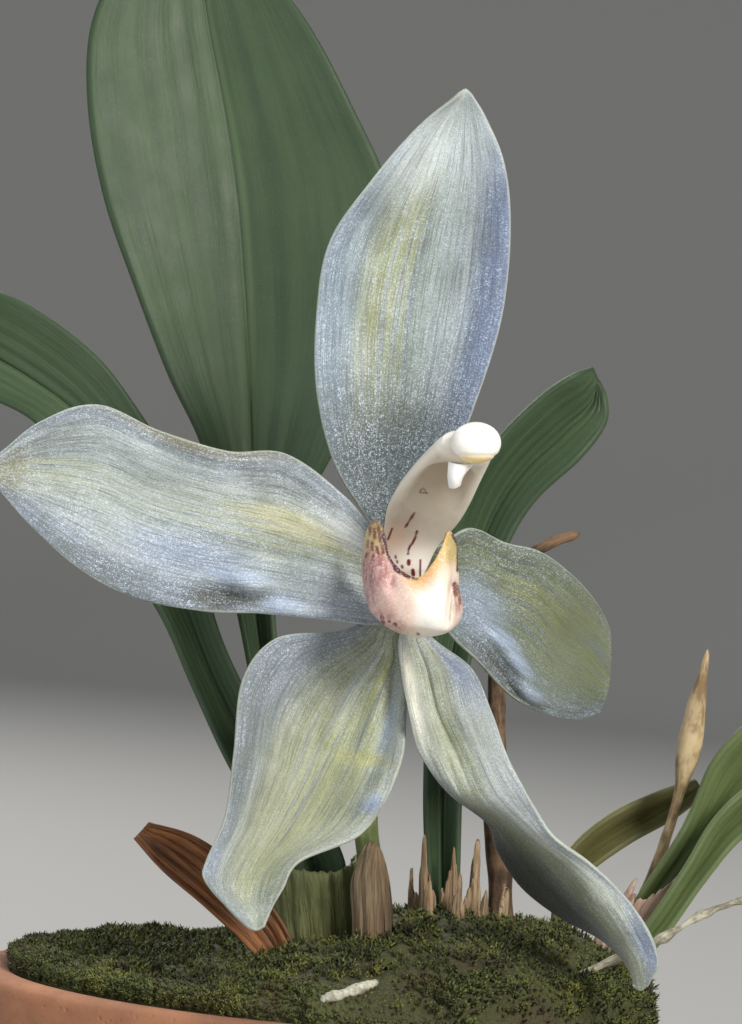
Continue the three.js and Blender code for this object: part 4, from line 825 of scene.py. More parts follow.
# The sheaths. A green one clasps the left leaves' foot. Round the right leaf's foot stand two tan
# ones, split into dry fibres at the top, and a papery pinkish one clasps the young shoot. A dead
# leaf, rust brown with orange lines, lies out to the left, and a tan bract stands in front.
SHEATH_THICKNESS = 0.5
SHEATH_ROWS = 44
SHEATH_COLUMNS = 110
DRY_ROWS = 90
DRY_COLUMNS = 36
SHEATHS = {
    "leaf_sheath_green": {
        "foot": (1.2, 1.2, 50), "lean": (-1.7, 0.2), "height": 10.5, "radii": (3.4, 3.6),
        "start": -2.9, "span": 3.4, "fray": 0.12, "points": 1, "shift": 0.4, "fibres": 0.03,
    },
    "dry_sheath_inner": {
        "foot": (10.8, 7, 50), "lean": (-0.6, 0.2), "height": 12, "radii": (2.5, 2.8),
        "start": -3.0, "span": 3.6, "fray": 0.35, "points": 4, "shift": 0.5, "fibres": 0.22,
    },
    "dry_sheath_outer": {
        "foot": (11.4, 6.8, 50), "lean": (0, 0), "height": 9.5, "radii": (3.8, 4.1),
        "start": -2.6, "span": 3.1, "fray": 0.4, "points": 5, "shift": 1.1, "fibres": 0.26,
    },
    "shoot_sheath": {
        "foot": (23.4, 3.7, 53), "lean": (4.7, 0.5), "height": 8.5, "radii": (2.1, 2.1),
        "start": -2.9, "span": 4.2, "fray": 0.3, "points": 2, "shift": 0.3, "fibres": 0.08,
    },
}
DRY_LEAF = [
    [[-2, -7.2, 50], [-1.2, -6, 50.6], [-0.2, -7.2, 51.8]],
    [[-4.2, -7.5, 53], [-3.3, -6.3, 54.3], [-2.3, -7.5, 55.7]],
    [[-8, -8, 56.2], [-7, -7, 57.7], [-6, -8, 59.5]],
    [[-11.5, -8, 58.7], [-10.5, -7, 60.1], [-9.5, -8, 61.6]],
    [[-14, -8, 61], [-13.5, -7.5, 61.6], [-13, -8, 62.3]],
]
PAPERY_BRACT = [
    [[3.6, -4.6, 50.5], [5.2, -6.4, 50.5], [6.8, -4.6, 50.5]],
    [[3.3, -4.8, 55.5], [4.8, -6.8, 55.9], [6.4, -4.8, 55.7]],
    [[2.9, -4.6, 58.6], [4.4, -6.5, 59.2], [5.8, -4.6, 58.9]],
    [[3.3, -4.6, 60.6], [4.3, -6, 61.1], [5.2, -4.6, 60.7]],
    [[3.8, -4.8, 61.8], [4.2, -5.2, 62.1], [4.6, -4.8, 61.8]],
]


def sheath_surface(sheath, rows, columns, seed):
    """Part of a cone's wall round a leaning axis. Its top edge is cut into points by a sine, and each
    column of fibres ends at its own random height, more so towards the top."""
    random = np.random.default_rng(seed)
    up = np.linspace(0, 1, rows + 1)[:, None]
    turn = np.linspace(0, 1, columns + 1)[None, :]
    angle = sheath["start"] + sheath["span"] * turn
    cut = 1 - sheath["fray"] * np.abs(np.sin(sheath["points"] * np.pi * turn + sheath["shift"]))
    ends = random.uniform(-1, 0.25, columns + 1)
    ends = np.convolve(np.pad(ends, 1, mode="edge"), [0.2, 0.6, 0.2], mode="valid")
    rise = up * (cut + sheath["fibres"] * ends[None, :] * up ** 2)
    low, high = sheath["radii"]
    waves = 0.07 * np.sin(19 * angle) + 0.12 * sheath["fibres"] * np.sin(43 * angle + 9 * up)
    radius = low + (high - low) * rise + waves
    return np.stack([
        sheath["foot"][0] + sheath["lean"][0] * rise + radius * np.cos(angle),
        sheath["foot"][1] + sheath["lean"][1] * rise + radius * np.sin(angle),
        sheath["foot"][2] + sheath["height"] * rise,
    ], axis=-1)


def husk_material(name, low, middle, high, across, roughness=0.8):
    """Dead or thin plant skin: three colours in lengthwise fibres and slow patches."""
    material, tree, shader = new_material(name)
    uv = add(tree, "ShaderNodeUVMap").outputs[0]
    fibres = lengthwise(uv, across, 3.0)
    colour = mix(lengthwise(uv, across / 5, 1.5), low, middle)
    bright = times(fibres, cloudy(object_place(tree), 200.0, 1.8))
    feed(shader, {
        "Base Color": mix(bright, colour, high), "Roughness": roughness,
        "Normal": bumped(0.9, 0.00015, fibres),
    })
    return material


green_husk = husk_material(
    "green_husk", (0.060, 0.075, 0.020, 1), (0.130, 0.150, 0.045, 1), (0.250, 0.250, 0.100, 1), 30.0, 0.5,
)
tan_husk = husk_material(
    "tan_husk", (0.110, 0.062, 0.030, 1), (0.280, 0.185, 0.100, 1), (0.520, 0.400, 0.250, 1), 70.0,
)
pink_husk = husk_material(
    "pink_husk", (0.230, 0.130, 0.090, 1), (0.420, 0.290, 0.210, 1), (0.640, 0.520, 0.420, 1), 40.0,
)
rust_husk = husk_material(
    "rust_husk", (0.050, 0.020, 0.010, 1), (0.190, 0.070, 0.025, 1), (0.520, 0.210, 0.060, 1), 22.0, 0.6,
)
HUSKS = {"leaf_sheath_green": green_husk, "shoot_sheath": pink_husk}
for seed, (name, sheath) in enumerate(SHEATHS.items()):
    grid = sheath_surface(sheath, SHEATH_ROWS, SHEATH_COLUMNS, seed)
    piece = sheet_piece(f"{name}_husk", grid, SHEATH_THICKNESS, HUSKS.get(name, tan_husk))
    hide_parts(name)
for name, rows, power, material, slot in (
    ("dry_leaf", DRY_LEAF, 1.6, rust_husk, "dry_leaf"),
    ("papery_bract", PAPERY_BRACT, 1.8, tan_husk, "dry_sheath"),
):
    grid = folded_surface(rows, DRY_ROWS, DRY_COLUMNS, power)
    t = np.linspace(0, 1, DRY_ROWS + 1)[:, None]
    s = np.linspace(-1, 1, DRY_COLUMNS + 1)[None, :]
    grid[..., 1] += 0.22 * np.sin(5 * np.pi * s + 3 * t) * np.clip(8 * t * (1 - t), 0, 1)
    piece = sheet_piece(f"{name}_husk", grid, SHEATH_THICKNESS, material)
    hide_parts(name)

# The stalks. The flower's own is green and fleshy, and thickens into the ovary behind the flower. A
# dead brown one stands behind the right petal, and a thin straw one ends in a dry pointed bud.
FLOWER_STALK = [
    [5, -2.6, FOOT], [4.5, -2.6, 57.5], [3.6, -3.2, 63.5], [2.9, -5.2, 70.5], [3, -8.6, 76.7],
    [3.9, -12, 81.4], [4.4, -14.2, 83],
]
DRY_STALK = [
    [16, 11, FOOT], [14.9, 11, 59], [14, 11, 67], [13.3, 11, 74], [13.2, 11.2, 80.5], [14.7, 11.4, 84.6],
    [16.9, 11.6, 86.3], [19, 11.8, 87.2],
]
BUD_STALK = [
    [22.6, 7, SHOOT_FOOT], [26, 7, 57.5], [27.9, 7.2, 64], [28.8, 7.5, 69], [29.4, 8, 74.5],
    [29.9, 8.5, 78.8],
]
fleshy = bark_like("fleshy_stalk", (0.090, 0.120, 0.035, 1), (0.260, 0.290, 0.120, 1), 120.0, 0.45, 0.00003)
dead = bark_like("dead_stalk", (0.040, 0.022, 0.012, 1), (0.200, 0.120, 0.065, 1), 260.0, 0.85, 0.00010)
straw = bark_like("straw_stalk", (0.200, 0.130, 0.060, 1), (0.520, 0.400, 0.230, 1), 300.0, 0.8, 0.00008)
FLOWER_RADII = [1.1, 1, 0.95, 0.95, 1.15, 1.45, 1.3]
DRY_RADII = [1.2, 1.25, 1.0, 1.2, 0.8, 0.7, 0.55, 0.5, 0.4]
BUD_RADII = [0.6, 0.6, 0.5, 0.5, 0.45, 0.42, 0.45, 0.95, 0.9, 0.5, 0.15]
for name, path, radii, skin, rough, seed, node, slot in (
    ("green_flower_stalk", FLOWER_STALK, FLOWER_RADII, fleshy, 0.04, 2, "flower_stalk", "flower_stalk"),
    ("dead_flower_stalk", DRY_STALK, DRY_RADII, dead, 0.12, 5, "dry_stalk", "dry_stalk"),
    ("dry_bud_and_stalk", BUD_STALK, BUD_RADII, straw, 0.10, 6, "dry_bud_stalk", "dry_stalk"),
):
    piece = stalk_piece(name, path, radii, skin, rough=rough, seed=seed)
    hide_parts(node)

# The tepals. Three sepals and two petals of thin, pearly, greenish-white tissue, each folded and
# waved in its own way. Their skin is a layer of tiny clear cells that glitter blue-white, with fine
# lengthwise veins that show yellow-green along the middle. Nets run from the claw to the tip, in the
# flower's own frame, from the left or upper edge to the right or lower one.
TEPAL_THICKNESS = 0.45
VEIN_HEIGHT = 0.014
SOFT_DENTS = 14
DENT_DEPTH = 0.16
CELL_SCALE = 12500.0
SEPAL_DORSAL = [
    [[-2.9, 3.2, 7.6], [-1.3, 3.8, 7.6], [0.3, 3.2, 7.8]],
    [[-5.3, 3.5, 11.7], [-1.3, 5, 12.3], [3.6, 3.5, 12.3]],
    [[-6.6, 3.5, 17.1], [-1, 5.5, 17.2], [5.5, 3, 16.7]],
    [[-6.6, 3.5, 22.8], [-0.4, 6, 23.3], [7.3, 3, 22.7]],
    [[-5.7, 3, 28], [0.7, 5.5, 28.5], [7.9, 2.5, 28.9]],
    [[-2.9, 2.5, 32.2], [2.2, 4.5, 33.1], [7.5, 2, 33.7]],
    [[0.8, 2, 36.5], [3.4, 3, 36.9], [6.2, 1.5, 37]],
    [[4, 1, 39], [4.5, 1, 39.4], [5, 1, 39]],
]
PETAL_LEFT = [
    [[-1.9, 1.2, 6.1], [-1.7, 2, 3.5], [-2.4, 1.2, -0.4]],
    [[-4.4, 0, 9.1], [-5, 1, 4.7], [-5.6, 0, 0]],
    [[-8.8, -0.5, 12.3], [-9, 0.5, 5.9], [-10.6, -1, 0.5]],
    [[-13.1, -1, 12.5], [-13.6, 0, 7], [-15.1, -1, 0.7]],
    [[-18.1, -1.5, 14], [-18.4, -0.5, 8.3], [-19.9, -2, 1.7]],
    [[-22.6, -2, 15.9], [-22.7, -1, 10], [-23.7, -3, 3.7]],
    [[-26.7, -2.5, 14.7], [-26.7, -2, 10.7], [-27.2, -3, 6.7]],
    [[-29.8, -3, 12.3], [-30.3, -3, 10.9], [-29.8, -3, 9.6]],
]
PETAL_RIGHT = [
    [[2.5, 1.2, 5.5], [2.3, 2, 2.6], [2.6, 1.2, -0.3]],
    [[4.9, 3, 6.8], [4.7, 4, 2.3], [3.9, 2, -1.7]],
    [[7.6, 5, 5.7], [7.1, 6, 1], [5.5, 3, -3.2]],
    [[10.3, 7, 5], [9.6, 8, -0.4], [7.4, 5, -5.3]],
    [[12.7, 9, 3.3], [11.4, 9, -2.5], [9.2, 7, -6.7]],
    [[14.5, 11, 1.4], [13.5, 10, -3.9], [11.3, 9, -7.6]],
    [[15.8, 12, -0.9], [14.8, 11, -5.2], [13.4, 11, -7.9]],
    [[16, 12, -3], [15.7, 12, -5.6], [15.1, 12, -7.4]],
]
SEPAL_LEFT = [
    [[-3.2, 3.2, -0.2], [-1.4, 3.6, -0.9], [0, 3.7, -1.7]],
    [[-5.2, 2.2, -0.9], [-2, 4, -2.7], [0.2, 2.9, -3.9]],
    [[-9.6, 0, -1.4], [-4.1, 3, -5.3], [0.1, 0.7, -7.1]],
    [[-12, -1, -4.4], [-6, 2, -8.9], [-0.2, -1, -10.1]],
    [[-12.6, -2, -9.7], [-7.4, 1, -12.1], [-1.4, -2, -13.2]],
    [[-13.3, -2, -14.5], [-9.3, 0, -15.6], [-3.4, -2, -15.8]],
    [[-14.6, -3, -17.5], [-11, -2, -18.2], [-7.7, -3, -17.6]],
    [[-14.7, -4, -18.9], [-11.7, -3, -20.2], [-8.9, -4, -19.5]],
    [[-13.1, -4, -20.9], [-11.2, -4, -21.3], [-9.7, -4, -20.9]],
    [[-11.5, -5, -22.2], [-10.9, -5, -22.5], [-10.3, -5, -22.2]],
]
SEPAL_RIGHT = [
    [[-0.4, 2.3, -1.5], [0.9, 2.6, -1.4], [2, 2.6, -1.3]],
    [[-0.2, 1.2, -4.1], [1.9, 2, -3.9], [5, 1.4, -3.7]],
    [[0.3, -1, -7], [2.6, 1, -6.9], [6.4, -1, -6.8]],
    [[1.1, -1, -9.9], [3.9, 0, -9.8], [7.4, -2, -9.7]],
    [[3.2, 1, -12.8], [5.5, -1, -13], [8.5, -3, -11.9]],
    [[6.2, 4, -15.3], [7.7, -1, -14.7], [9.8, -3, -14.2]],
    [[7, 6, -17.5], [10, -1, -16.7], [11, -3, -15.9]],
    [[8.9, 7, -20.4], [12, -1, -18.6], [13.6, -3, -17.8]],
    [[11.8, 6, -22.6], [13.9, -2, -20.8], [16.2, -3, -20.3]],
    [[14.8, 3, -24], [15.5, -2, -22.9], [17.8, -4, -22.7]],
    [[16.5, 0, -25.6], [16.8, -3, -25], [18.5, -4, -25]],
    [[16.7, -3, -26.7], [17.2, -3.2, -27.1], [17.8, -3.4, -26.7]],
]
# Folds and hollows of each tepal: how far along, how far across, length, width and depth.
PETAL_LEFT_FOLDS = [
    (0.37, 0.75, 0.035, 0.06, -0.7), (0.32, 0.83, 0.035, 0.06, -0.8), (0.25, 0.93, 0.035, 0.07, -0.6),
    (0.38, 0.91, 0.045, 0.07, 1.0), (0.27, 0.60, 0.06, 0.10, 0.4), (0.22, 0.33, 0.10, 0.10, -0.4),
    (0.55, 0.95, 0.05, 0.06, -0.4), (0.62, 0.25, 0.10, 0.10, -0.4),
]
SEPAL_LEFT_FOLDS = [
    (0.30, 0.88, 0.10, 0.07, 0.8), (0.14, 0.66, 0.08, 0.05, -0.6), (0.23, 0.74, 0.08, 0.05, -0.6),
    (0.37, 0.80, 0.03, 0.20, 0.5), (0.44, 0.90, 0.04, 0.10, -0.7), (0.24, 0.40, 0.18, 0.14, 0.5),
    (0.22, 0.53, 0.14, 0.05, -0.4),
]
PETAL_RIGHT_FOLDS = [
    (0.33, 0.73, 0.07, 0.06, -1.0), (0.44, 0.79, 0.07, 0.06, -1.2), (0.57, 0.90, 0.07, 0.06, -0.9),
    (0.30, 0.93, 0.09, 0.07, 0.8), (0.45, 0.97, 0.08, 0.06, 0.8), (0.22, 0.45, 0.08, 0.10, 0.4),
]
SEPAL_RIGHT_FOLDS = [
    (0.08, 0.05, 0.10, 0.07, -0.5), (0.14, 0.12, 0.10, 0.06, -0.7), (0.13, 0.44, 0.08, 0.05, 0.4),
    (0.22, 0.48, 0.08, 0.05, 0.4), (0.24, 0.20, 0.10, 0.05, -0.4), (0.14, 0.70, 0.08, 0.05, -0.3),
]


def flower_frame(points):
    """Points of the flower's own frame, turned by its roll and moved to its place on the plant."""
    points = np.asarray(points, dtype=float)
    x, y, z = points[..., 0:1], points[..., 1:2], points[..., 2:3]
    return FLOWER_CENTRE + x * picture_right + y * away + z * picture_up


def net_surface(rows, along, across):
    """A smooth surface through a net: one curve along each column of the net, then one curve across
    each set of points found on them."""
    columns = smooth_curve(np.asarray(rows, dtype=float), np.linspace(0, 1, along + 1))
    lines = smooth_curve(columns.transpose(1, 0, 2), np.linspace(0, 1, across + 1))
    return lines.transpose(1, 0, 2)


def tepal_surface(rows, folds, along, across, veins, ruffle, seed):
    """A tepal: a net surface, pressed in y by soft round folds, ribbed by faint veins that run
    lengthwise, and ruffled at its margins by waves that grow with distance from the midrib."""
    grid = net_surface(rows, along, across)
    v, u = np.meshgrid(np.linspace(0, 1, along + 1), np.linspace(0, 1, across + 1), indexing="ij")
    for at, over, length, width, depth in folds:
        grid[..., 1] += depth * np.exp(-(((v - at) / length) ** 2) - ((u - over) / width) ** 2)
    random = np.random.default_rng(seed)
    middle = np.clip(5 * v * (1 - v), 0, 1)
    drift = 0.5 * np.sin(6 * v + random.uniform(0, 6))
    grid[..., 1] += VEIN_HEIGHT * np.sin(2 * np.pi * veins * u + drift) * middle
    out = np.abs(2 * u - 1) ** 4
    wave = np.sin(23 * v + random.uniform(0, 6) + np.sign(u - 0.5))
    wave += 0.6 * np.sin(51 * v + random.uniform(0, 6))
    grid[..., 1] += ruffle * out * wave * middle
    for _ in range(SOFT_DENTS):
        at, over = random.uniform(0.1, 0.9), random.uniform(0.1, 0.9)
        length, width = random.uniform(0.05, 0.14), random.uniform(0.05, 0.12)
        push = random.uniform(-DENT_DEPTH, DENT_DEPTH)
        grid[..., 1] += push * np.exp(-(((v - at) / length) ** 2) - ((u - over) / width) ** 2)
    return grid


# Tiny clear cells: a close mosaic that gives each cell a glint value, used for painted glints in the
# colour, a shade of its own, and a height to glitter by.
cells, given, result = new_group(
    "glitter_cells", [("Vector", "NodeSocketVector"), ("Scale", "NodeSocketFloat")],
    ["Glint", "Shade", "Height"],
)
mosaic = add(cells, "ShaderNodeTexVoronoi", {
    "Vector": given.outputs["Vector"], "Scale": given.outputs["Scale"],
})
drawn = add(cells, "ShaderNodeSeparateColor", {0: mosaic.outputs["Color"]})
crown = calc("SUBTRACT", 1.0, mosaic.outputs["Distance"])
feed(result, {
    "Glint": drawn.outputs[0], "Shade": drawn.outputs[2],
    "Height": calc("MULTIPLY_ADD", drawn.outputs[1], 0.5, crown),
})


def glitter(place, scale):
    """Glitter cells from the shared group: the glint, the shade and the height."""
    node = add(place.id_data, "ShaderNodeGroup", {"Vector": place, "Scale": scale}, node_tree=cells)
    return node.outputs["Glint"], node.outputs["Shade"], node.outputs["Height"]


def zone_mask(u, v, at, share):
    """A soft round patch on the UV: full inside, and gone a little past its half sizes."""
    at_u, at_v, wide, long = at
    du = calc("DIVIDE", calc("SUBTRACT", u, at_u), wide)
    dv = calc("DIVIDE", calc("SUBTRACT", v, at_v), long)
    far = calc("SQRT", calc("MULTIPLY_ADD", du, du, times(dv, dv)))
    return fade(far, 0.25, 1.25, share, 0.0)


def tepal_material(name, look):
    """Pearly tissue: a blue-grey to pearl mosaic, lavender towards the margins as a painted pearly sheen,
    yellow-green veins in a band along the middle, soft zones of colour, many of them painted highlights,
    sheen and shade, painted blue-white glints, and a thin pale margin."""
    material, tree, shader = new_material(name)
    place = object_place(tree)
    uv = add(tree, "ShaderNodeUVMap").outputs[0]
    axes = add(tree, "ShaderNodeSeparateXYZ", {0: uv})
    u, v = axes.outputs["X"], axes.outputs["Y"]
    fine = lengthwise(uv, 110.0, 12.0)
    rib = lengthwise(uv, 38.0, 3.0)
    broad = lengthwise(uv, 13.0, 2.5)
    glint, shade, height = glitter(place, CELL_SCALE)
    patch = cloudy(place, 240.0, 3.2)
    tone = calc("MULTIPLY_ADD", broad, 0.55, times(patch, 0.45))
    colour = mix(fade(tone, 0.15, 0.85), look["shade"], look["pearl"])
    # Painted pearly sheen: the colour turns blue towards the margins, away from the vein band.
    off_band = distance_from(u, look["band_at"])
    near_margin = fade(off_band, look["band_width"] * 0.7, 0.55)
    painted_sheen_blue = times(near_margin, fade(patch, 0.1, 0.9, 0.5, 1.0))
    colour = mix(times(painted_sheen_blue, look["painted_sheen_share"]), colour, look["painted_sheen_blue"])
    in_band = fade(off_band, 0.02, look["band_width"], 1.0, 0.0)
    vein = times(in_band, fade(rib, 0.1, 0.9, 0.1, 1.0))
    colour = mix(times(vein, look["greenness"]), colour, look["green"])
    for at, share, zone_colour in look["zones"]:
        colour = mix(zone_mask(u, v, at, share), colour, zone_colour)
    colour = mix(fade(rib, 0.0, 0.45, 0.35, 0.0), colour, BLUE_GREY)
    colour = mix(fade(fine, 0.0, 0.5, 0.40, 0.0), colour, look["gap"])
    colour = mix(times(shade, 0.30), colour, look["gap"])
    # Painted glints: blue-white mixed into the colour where a cell's glint is high.
    glint_paint = times(calc("POWER", glint, 3.0), fade(patch, 0.1, 0.8, 0.55, 1.0))
    glint_paint = times(glint_paint, fade(fine, 0.2, 0.9, 0.35, 1.0))
    if "calm" in look:
        lively = calc("SUBTRACT", 1.0, zone_mask(u, v, *look["calm"]))
        glint_paint = times(glint_paint, lively)
    colour = mix(times(glint_paint, look["glint_paint"]), colour, PAINTED_GLINT_BLUE)
    colour = mix(fade(marked(tree, "margin"), 0.03, 0.10, 0.55, 0.0), colour, MARGIN_PALE)
    relief = calc("MULTIPLY_ADD", height, 0.9, times(fine, 0.4))
    feed(shader, {
        "Base Color": colour, "Roughness": fade(glint, 0.0, 1.0, 0.56, 0.30),
        "Normal": bumped(0.6, 0.00005, relief), "Specular IOR Level": 0.35,
        "Specular Tint": (0.80, 0.88, 1.0, 1), "Subsurface Weight": 0.15,
        "Subsurface Radius": (0.9, 1.0, 0.7), "Subsurface Scale": 0.0004,
        "Sheen Weight": 0.08, "Sheen Tint": (0.75, 0.83, 1.0, 1),
    })
    return material


BLUE_GREY = (0.150, 0.185, 0.235, 1)
PAINTED_GLINT_BLUE = (0.76, 0.85, 1.0, 1)
MARGIN_PALE = (0.46, 0.50, 0.40, 1)
PEARL = {
    "pearl": (0.500, 0.545, 0.500, 1), "shade": (0.185, 0.210, 0.180, 1), "painted_sheen_blue": (0.190, 0.245, 0.420, 1),
    "green": (0.400, 0.420, 0.160, 1), "gap": (0.075, 0.088, 0.078, 1), "band_at": 0.5, "band_width": 0.34,
    "painted_sheen_share": 0.65, "greenness": 0.8, "glint_paint": 0.8,
}
# A zone is a soft patch: its place across and along, its half sizes, its strength and its colour. Many
# zones are painted light: highlights on ridges and folds, pearly sheen, and shade in hollows, grooves
# and parts turned away, as marked below. A calm zone has a place and a strength alone, and takes the
# glitter down.
TEPALS = {
    "sepal_dorsal": {
        "rows": [[[-1.2, 3.4, 4.6], [-0.6, 3.9, 4.6], [0.2, 3.4, 4.8]]] + SEPAL_DORSAL, "folds": [],
        "along": 150, "across": 80, "veins": 9, "ruffle": 0.10,
        "look": {**PEARL, "band_at": 0.44, "painted_sheen_share": 0.85, "zones": [
            # Painted pearly sheen, blue-grey at the left margin.
            ((0.12, 0.50, 0.16, 0.34), 0.6, (0.260, 0.350, 0.440, 1)),
            ((0.65, 0.56, 0.14, 0.26), 0.6, (0.400, 0.480, 0.480, 1)),
            # Painted pearly sheen, lavender at the right margin.
            ((0.98, 0.55, 0.14, 0.50), 0.6, (0.130, 0.175, 0.330, 1)),
            # Painted light: the tip is brighter than the rest.
            ((0.55, 0.88, 0.70, 0.18), 1.0, (0.800, 0.880, 0.860, 1)),
            # Painted shadow of the column over the sepal's lower part.
            ((0.50, 0.20, 0.90, 0.24), 1.0, (0.060, 0.075, 0.060, 1)),
        ]},
    },
    "petal_left": {
        "rows": [[[0.2, 2.2, 4.8], [0.2, 2.6, 2.6], [-0.4, 2.2, 0.0]]] + PETAL_LEFT,
        "folds": PETAL_LEFT_FOLDS,
        "along": 160, "across": 84, "veins": 11, "ruffle": 0.16,
        "look": {**PEARL, "band_at": 0.45, "band_width": 0.22, "zones": [
            # Painted highlight, a bright band along the middle.
            ((0.40, 0.66, 0.34, 0.26), 0.6, (0.500, 0.570, 0.560, 1)),
            # Painted pearly sheen, blue in the lower middle.
            ((0.70, 0.55, 0.14, 0.16), 0.6, (0.180, 0.240, 0.400, 1)),
            ((0.00, 0.55, 0.08, 0.24), 0.8, (0.230, 0.190, 0.070, 1)),
            ((0.45, 0.97, 0.50, 0.08), 0.6, (0.240, 0.220, 0.110, 1)),
            # Painted shade along the lower margin, here and in the next zone.
            ((0.95, 0.72, 0.12, 0.16), 0.7, (0.100, 0.115, 0.110, 1)),
            ((0.94, 0.60, 0.13, 0.20), 0.55, (0.120, 0.145, 0.160, 1)),
            ((0.38, 0.36, 0.10, 0.15), 0.9, (0.680, 0.660, 0.400, 1)),
            ((0.24, 0.22, 0.16, 0.08), 0.8, (0.780, 0.820, 0.800, 1)),
            ((0.66, 0.28, 0.14, 0.10), 0.5, (0.330, 0.380, 0.400, 1)),
            # Painted shade in the hollow above the lower margin's fold.
            ((0.92, 0.46, 0.11, 0.10), 1.0, (0.060, 0.055, 0.030, 1)),
            # Painted highlights on the ridge above that hollow, here and in the next zone.
            ((0.78, 0.44, 0.05, 0.08), 0.7, (0.420, 0.520, 0.680, 1)),
            ((0.93, 0.34, 0.05, 0.05), 0.7, (0.420, 0.520, 0.680, 1)),
        ]},
    },
    "petal_right": {
        "rows": [[[0.6, 2.6, 5.0], [0.7, 3.0, 2.4], [0.8, 2.6, 0.2]]] + PETAL_RIGHT,
        "folds": PETAL_RIGHT_FOLDS,
        "along": 130, "across": 90, "veins": 10, "ruffle": 0.14,
        # Painted shade: the whole petal is darker and greener, as it faces away from the light.
        "look": {**PEARL, "pearl": (0.155, 0.178, 0.105, 1), "shade": (0.078, 0.094, 0.050, 1),
                 "green": (0.250, 0.270, 0.090, 1), "band_at": 0.35, "band_width": 0.40,
                 "glint_paint": 0.7, "painted_sheen_share": 0.35,
                 "calm": ((0.40, 0.74, 0.60, 0.34), 0.95), "zones": [
            # Painted pearly sheen, bluish silver.
            ((0.60, 0.28, 0.30, 0.16), 0.75, (0.250, 0.310, 0.420, 1)),
            # Darker olive over the outer part: partly its own olive, partly painted shade.
            ((0.40, 0.75, 0.60, 0.30), 0.7, (0.135, 0.150, 0.075, 1)),
            # Painted shade in the margin's roll, here and in the next zone.
            ((0.93, 0.42, 0.09, 0.12), 0.9, (0.060, 0.055, 0.028, 1)),
            ((0.98, 0.53, 0.06, 0.06), 0.9, (0.060, 0.055, 0.028, 1)),
            # Painted highlights on the crescent ridge, here and in the next two zones.
            ((0.73, 0.42, 0.06, 0.09), 0.8, (0.380, 0.470, 0.620, 1)),
            ((0.79, 0.52, 0.05, 0.08), 0.8, (0.380, 0.470, 0.620, 1)),
            ((0.90, 0.62, 0.06, 0.06), 0.7, (0.360, 0.430, 0.540, 1)),
        ]},
    },
    "sepal_left": {
        "rows": [[[-1.2, 3.6, 1.0], [-0.4, 3.8, 0.6], [0.3, 3.6, 0.2]]] + SEPAL_LEFT,
        "folds": SEPAL_LEFT_FOLDS,
        "along": 160, "across": 84, "veins": 11, "ruffle": 0.14,
        "look": {**PEARL, "pearl": (0.450, 0.470, 0.360, 1), "shade": (0.230, 0.250, 0.170, 1),
                 "band_at": 0.60, "band_width": 0.40, "painted_sheen_share": 0.55, "glint_paint": 0.6,
                 "calm": ((0.45, 0.60, 0.50, 0.26), 0.85), "zones": [
            ((0.14, 0.32, 0.18, 0.16), 0.7, (0.190, 0.220, 0.270, 1)),
            # Painted highlight on the ridge.
            ((0.52, 0.27, 0.08, 0.12), 0.6, (0.520, 0.550, 0.480, 1)),
            # Painted pearly sheen in the gutter.
            ((0.88, 0.34, 0.08, 0.12), 0.6, (0.330, 0.390, 0.490, 1)),
            ((0.69, 0.25, 0.035, 0.10), 0.85, (0.480, 0.480, 0.180, 1)),
            # Painted shade, yellow-green, in the band under the crease's ridge.
            ((0.78, 0.42, 0.22, 0.025), 0.85, (0.440, 0.440, 0.150, 1)),
            # Painted glint on a ripple near the margin.
            ((0.94, 0.515, 0.06, 0.03), 0.7, (0.300, 0.390, 0.600, 1)),
            ((0.45, 0.58, 0.35, 0.18), 0.5, (0.400, 0.410, 0.290, 1)),
            ((0.05, 0.46, 0.10, 0.18), 0.5, (0.130, 0.145, 0.130, 1)),
            ((0.50, 0.93, 0.60, 0.14), 0.5, (0.430, 0.470, 0.420, 1)),
        ]},
    },
    "sepal_right": {
        "rows": [[[0.3, 2.6, 0.6], [1.0, 2.8, 0.6], [1.7, 2.8, 0.6]]] + SEPAL_RIGHT,
        "folds": SEPAL_RIGHT_FOLDS,
        "along": 180, "across": 76, "veins": 9, "ruffle": 0.10,
        "look": {**PEARL, "pearl": (0.540, 0.560, 0.460, 1), "shade": (0.260, 0.280, 0.230, 1),
                 "band_at": 0.45, "band_width": 0.35, "painted_sheen_share": 0.5, "glint_paint": 0.7,
                 "calm": ((0.12, 0.68, 0.40, 0.24), 0.95), "zones": [
            # Painted highlight on the ridge.
            ((0.08, 0.19, 0.16, 0.14), 0.95, (0.820, 0.800, 0.640, 1)),
            ((0.84, 0.18, 0.16, 0.09), 0.75, (0.190, 0.230, 0.350, 1)),
            # Painted shade in the grooves.
            ((0.46, 0.24, 0.05, 0.10), 0.6, (0.180, 0.190, 0.120, 1)),
            # Painted highlights, silver, on the upper blade and along the fold, here and in the next two
            # zones.
            ((0.85, 0.34, 0.20, 0.14), 0.8, (0.680, 0.710, 0.650, 1)),
            ((0.74, 0.48, 0.22, 0.12), 0.8, (0.600, 0.640, 0.620, 1)),
            ((0.95, 0.60, 0.10, 0.08), 0.6, (0.500, 0.540, 0.520, 1)),
            ((0.88, 0.88, 0.20, 0.08), 0.7, (0.230, 0.290, 0.440, 1)),
            # Painted shade: the half that turns back and faces away is dark olive-brown.
            ((0.12, 0.68, 0.42, 0.26), 0.95, (0.028, 0.026, 0.014, 1)),
        ]},
    },
}
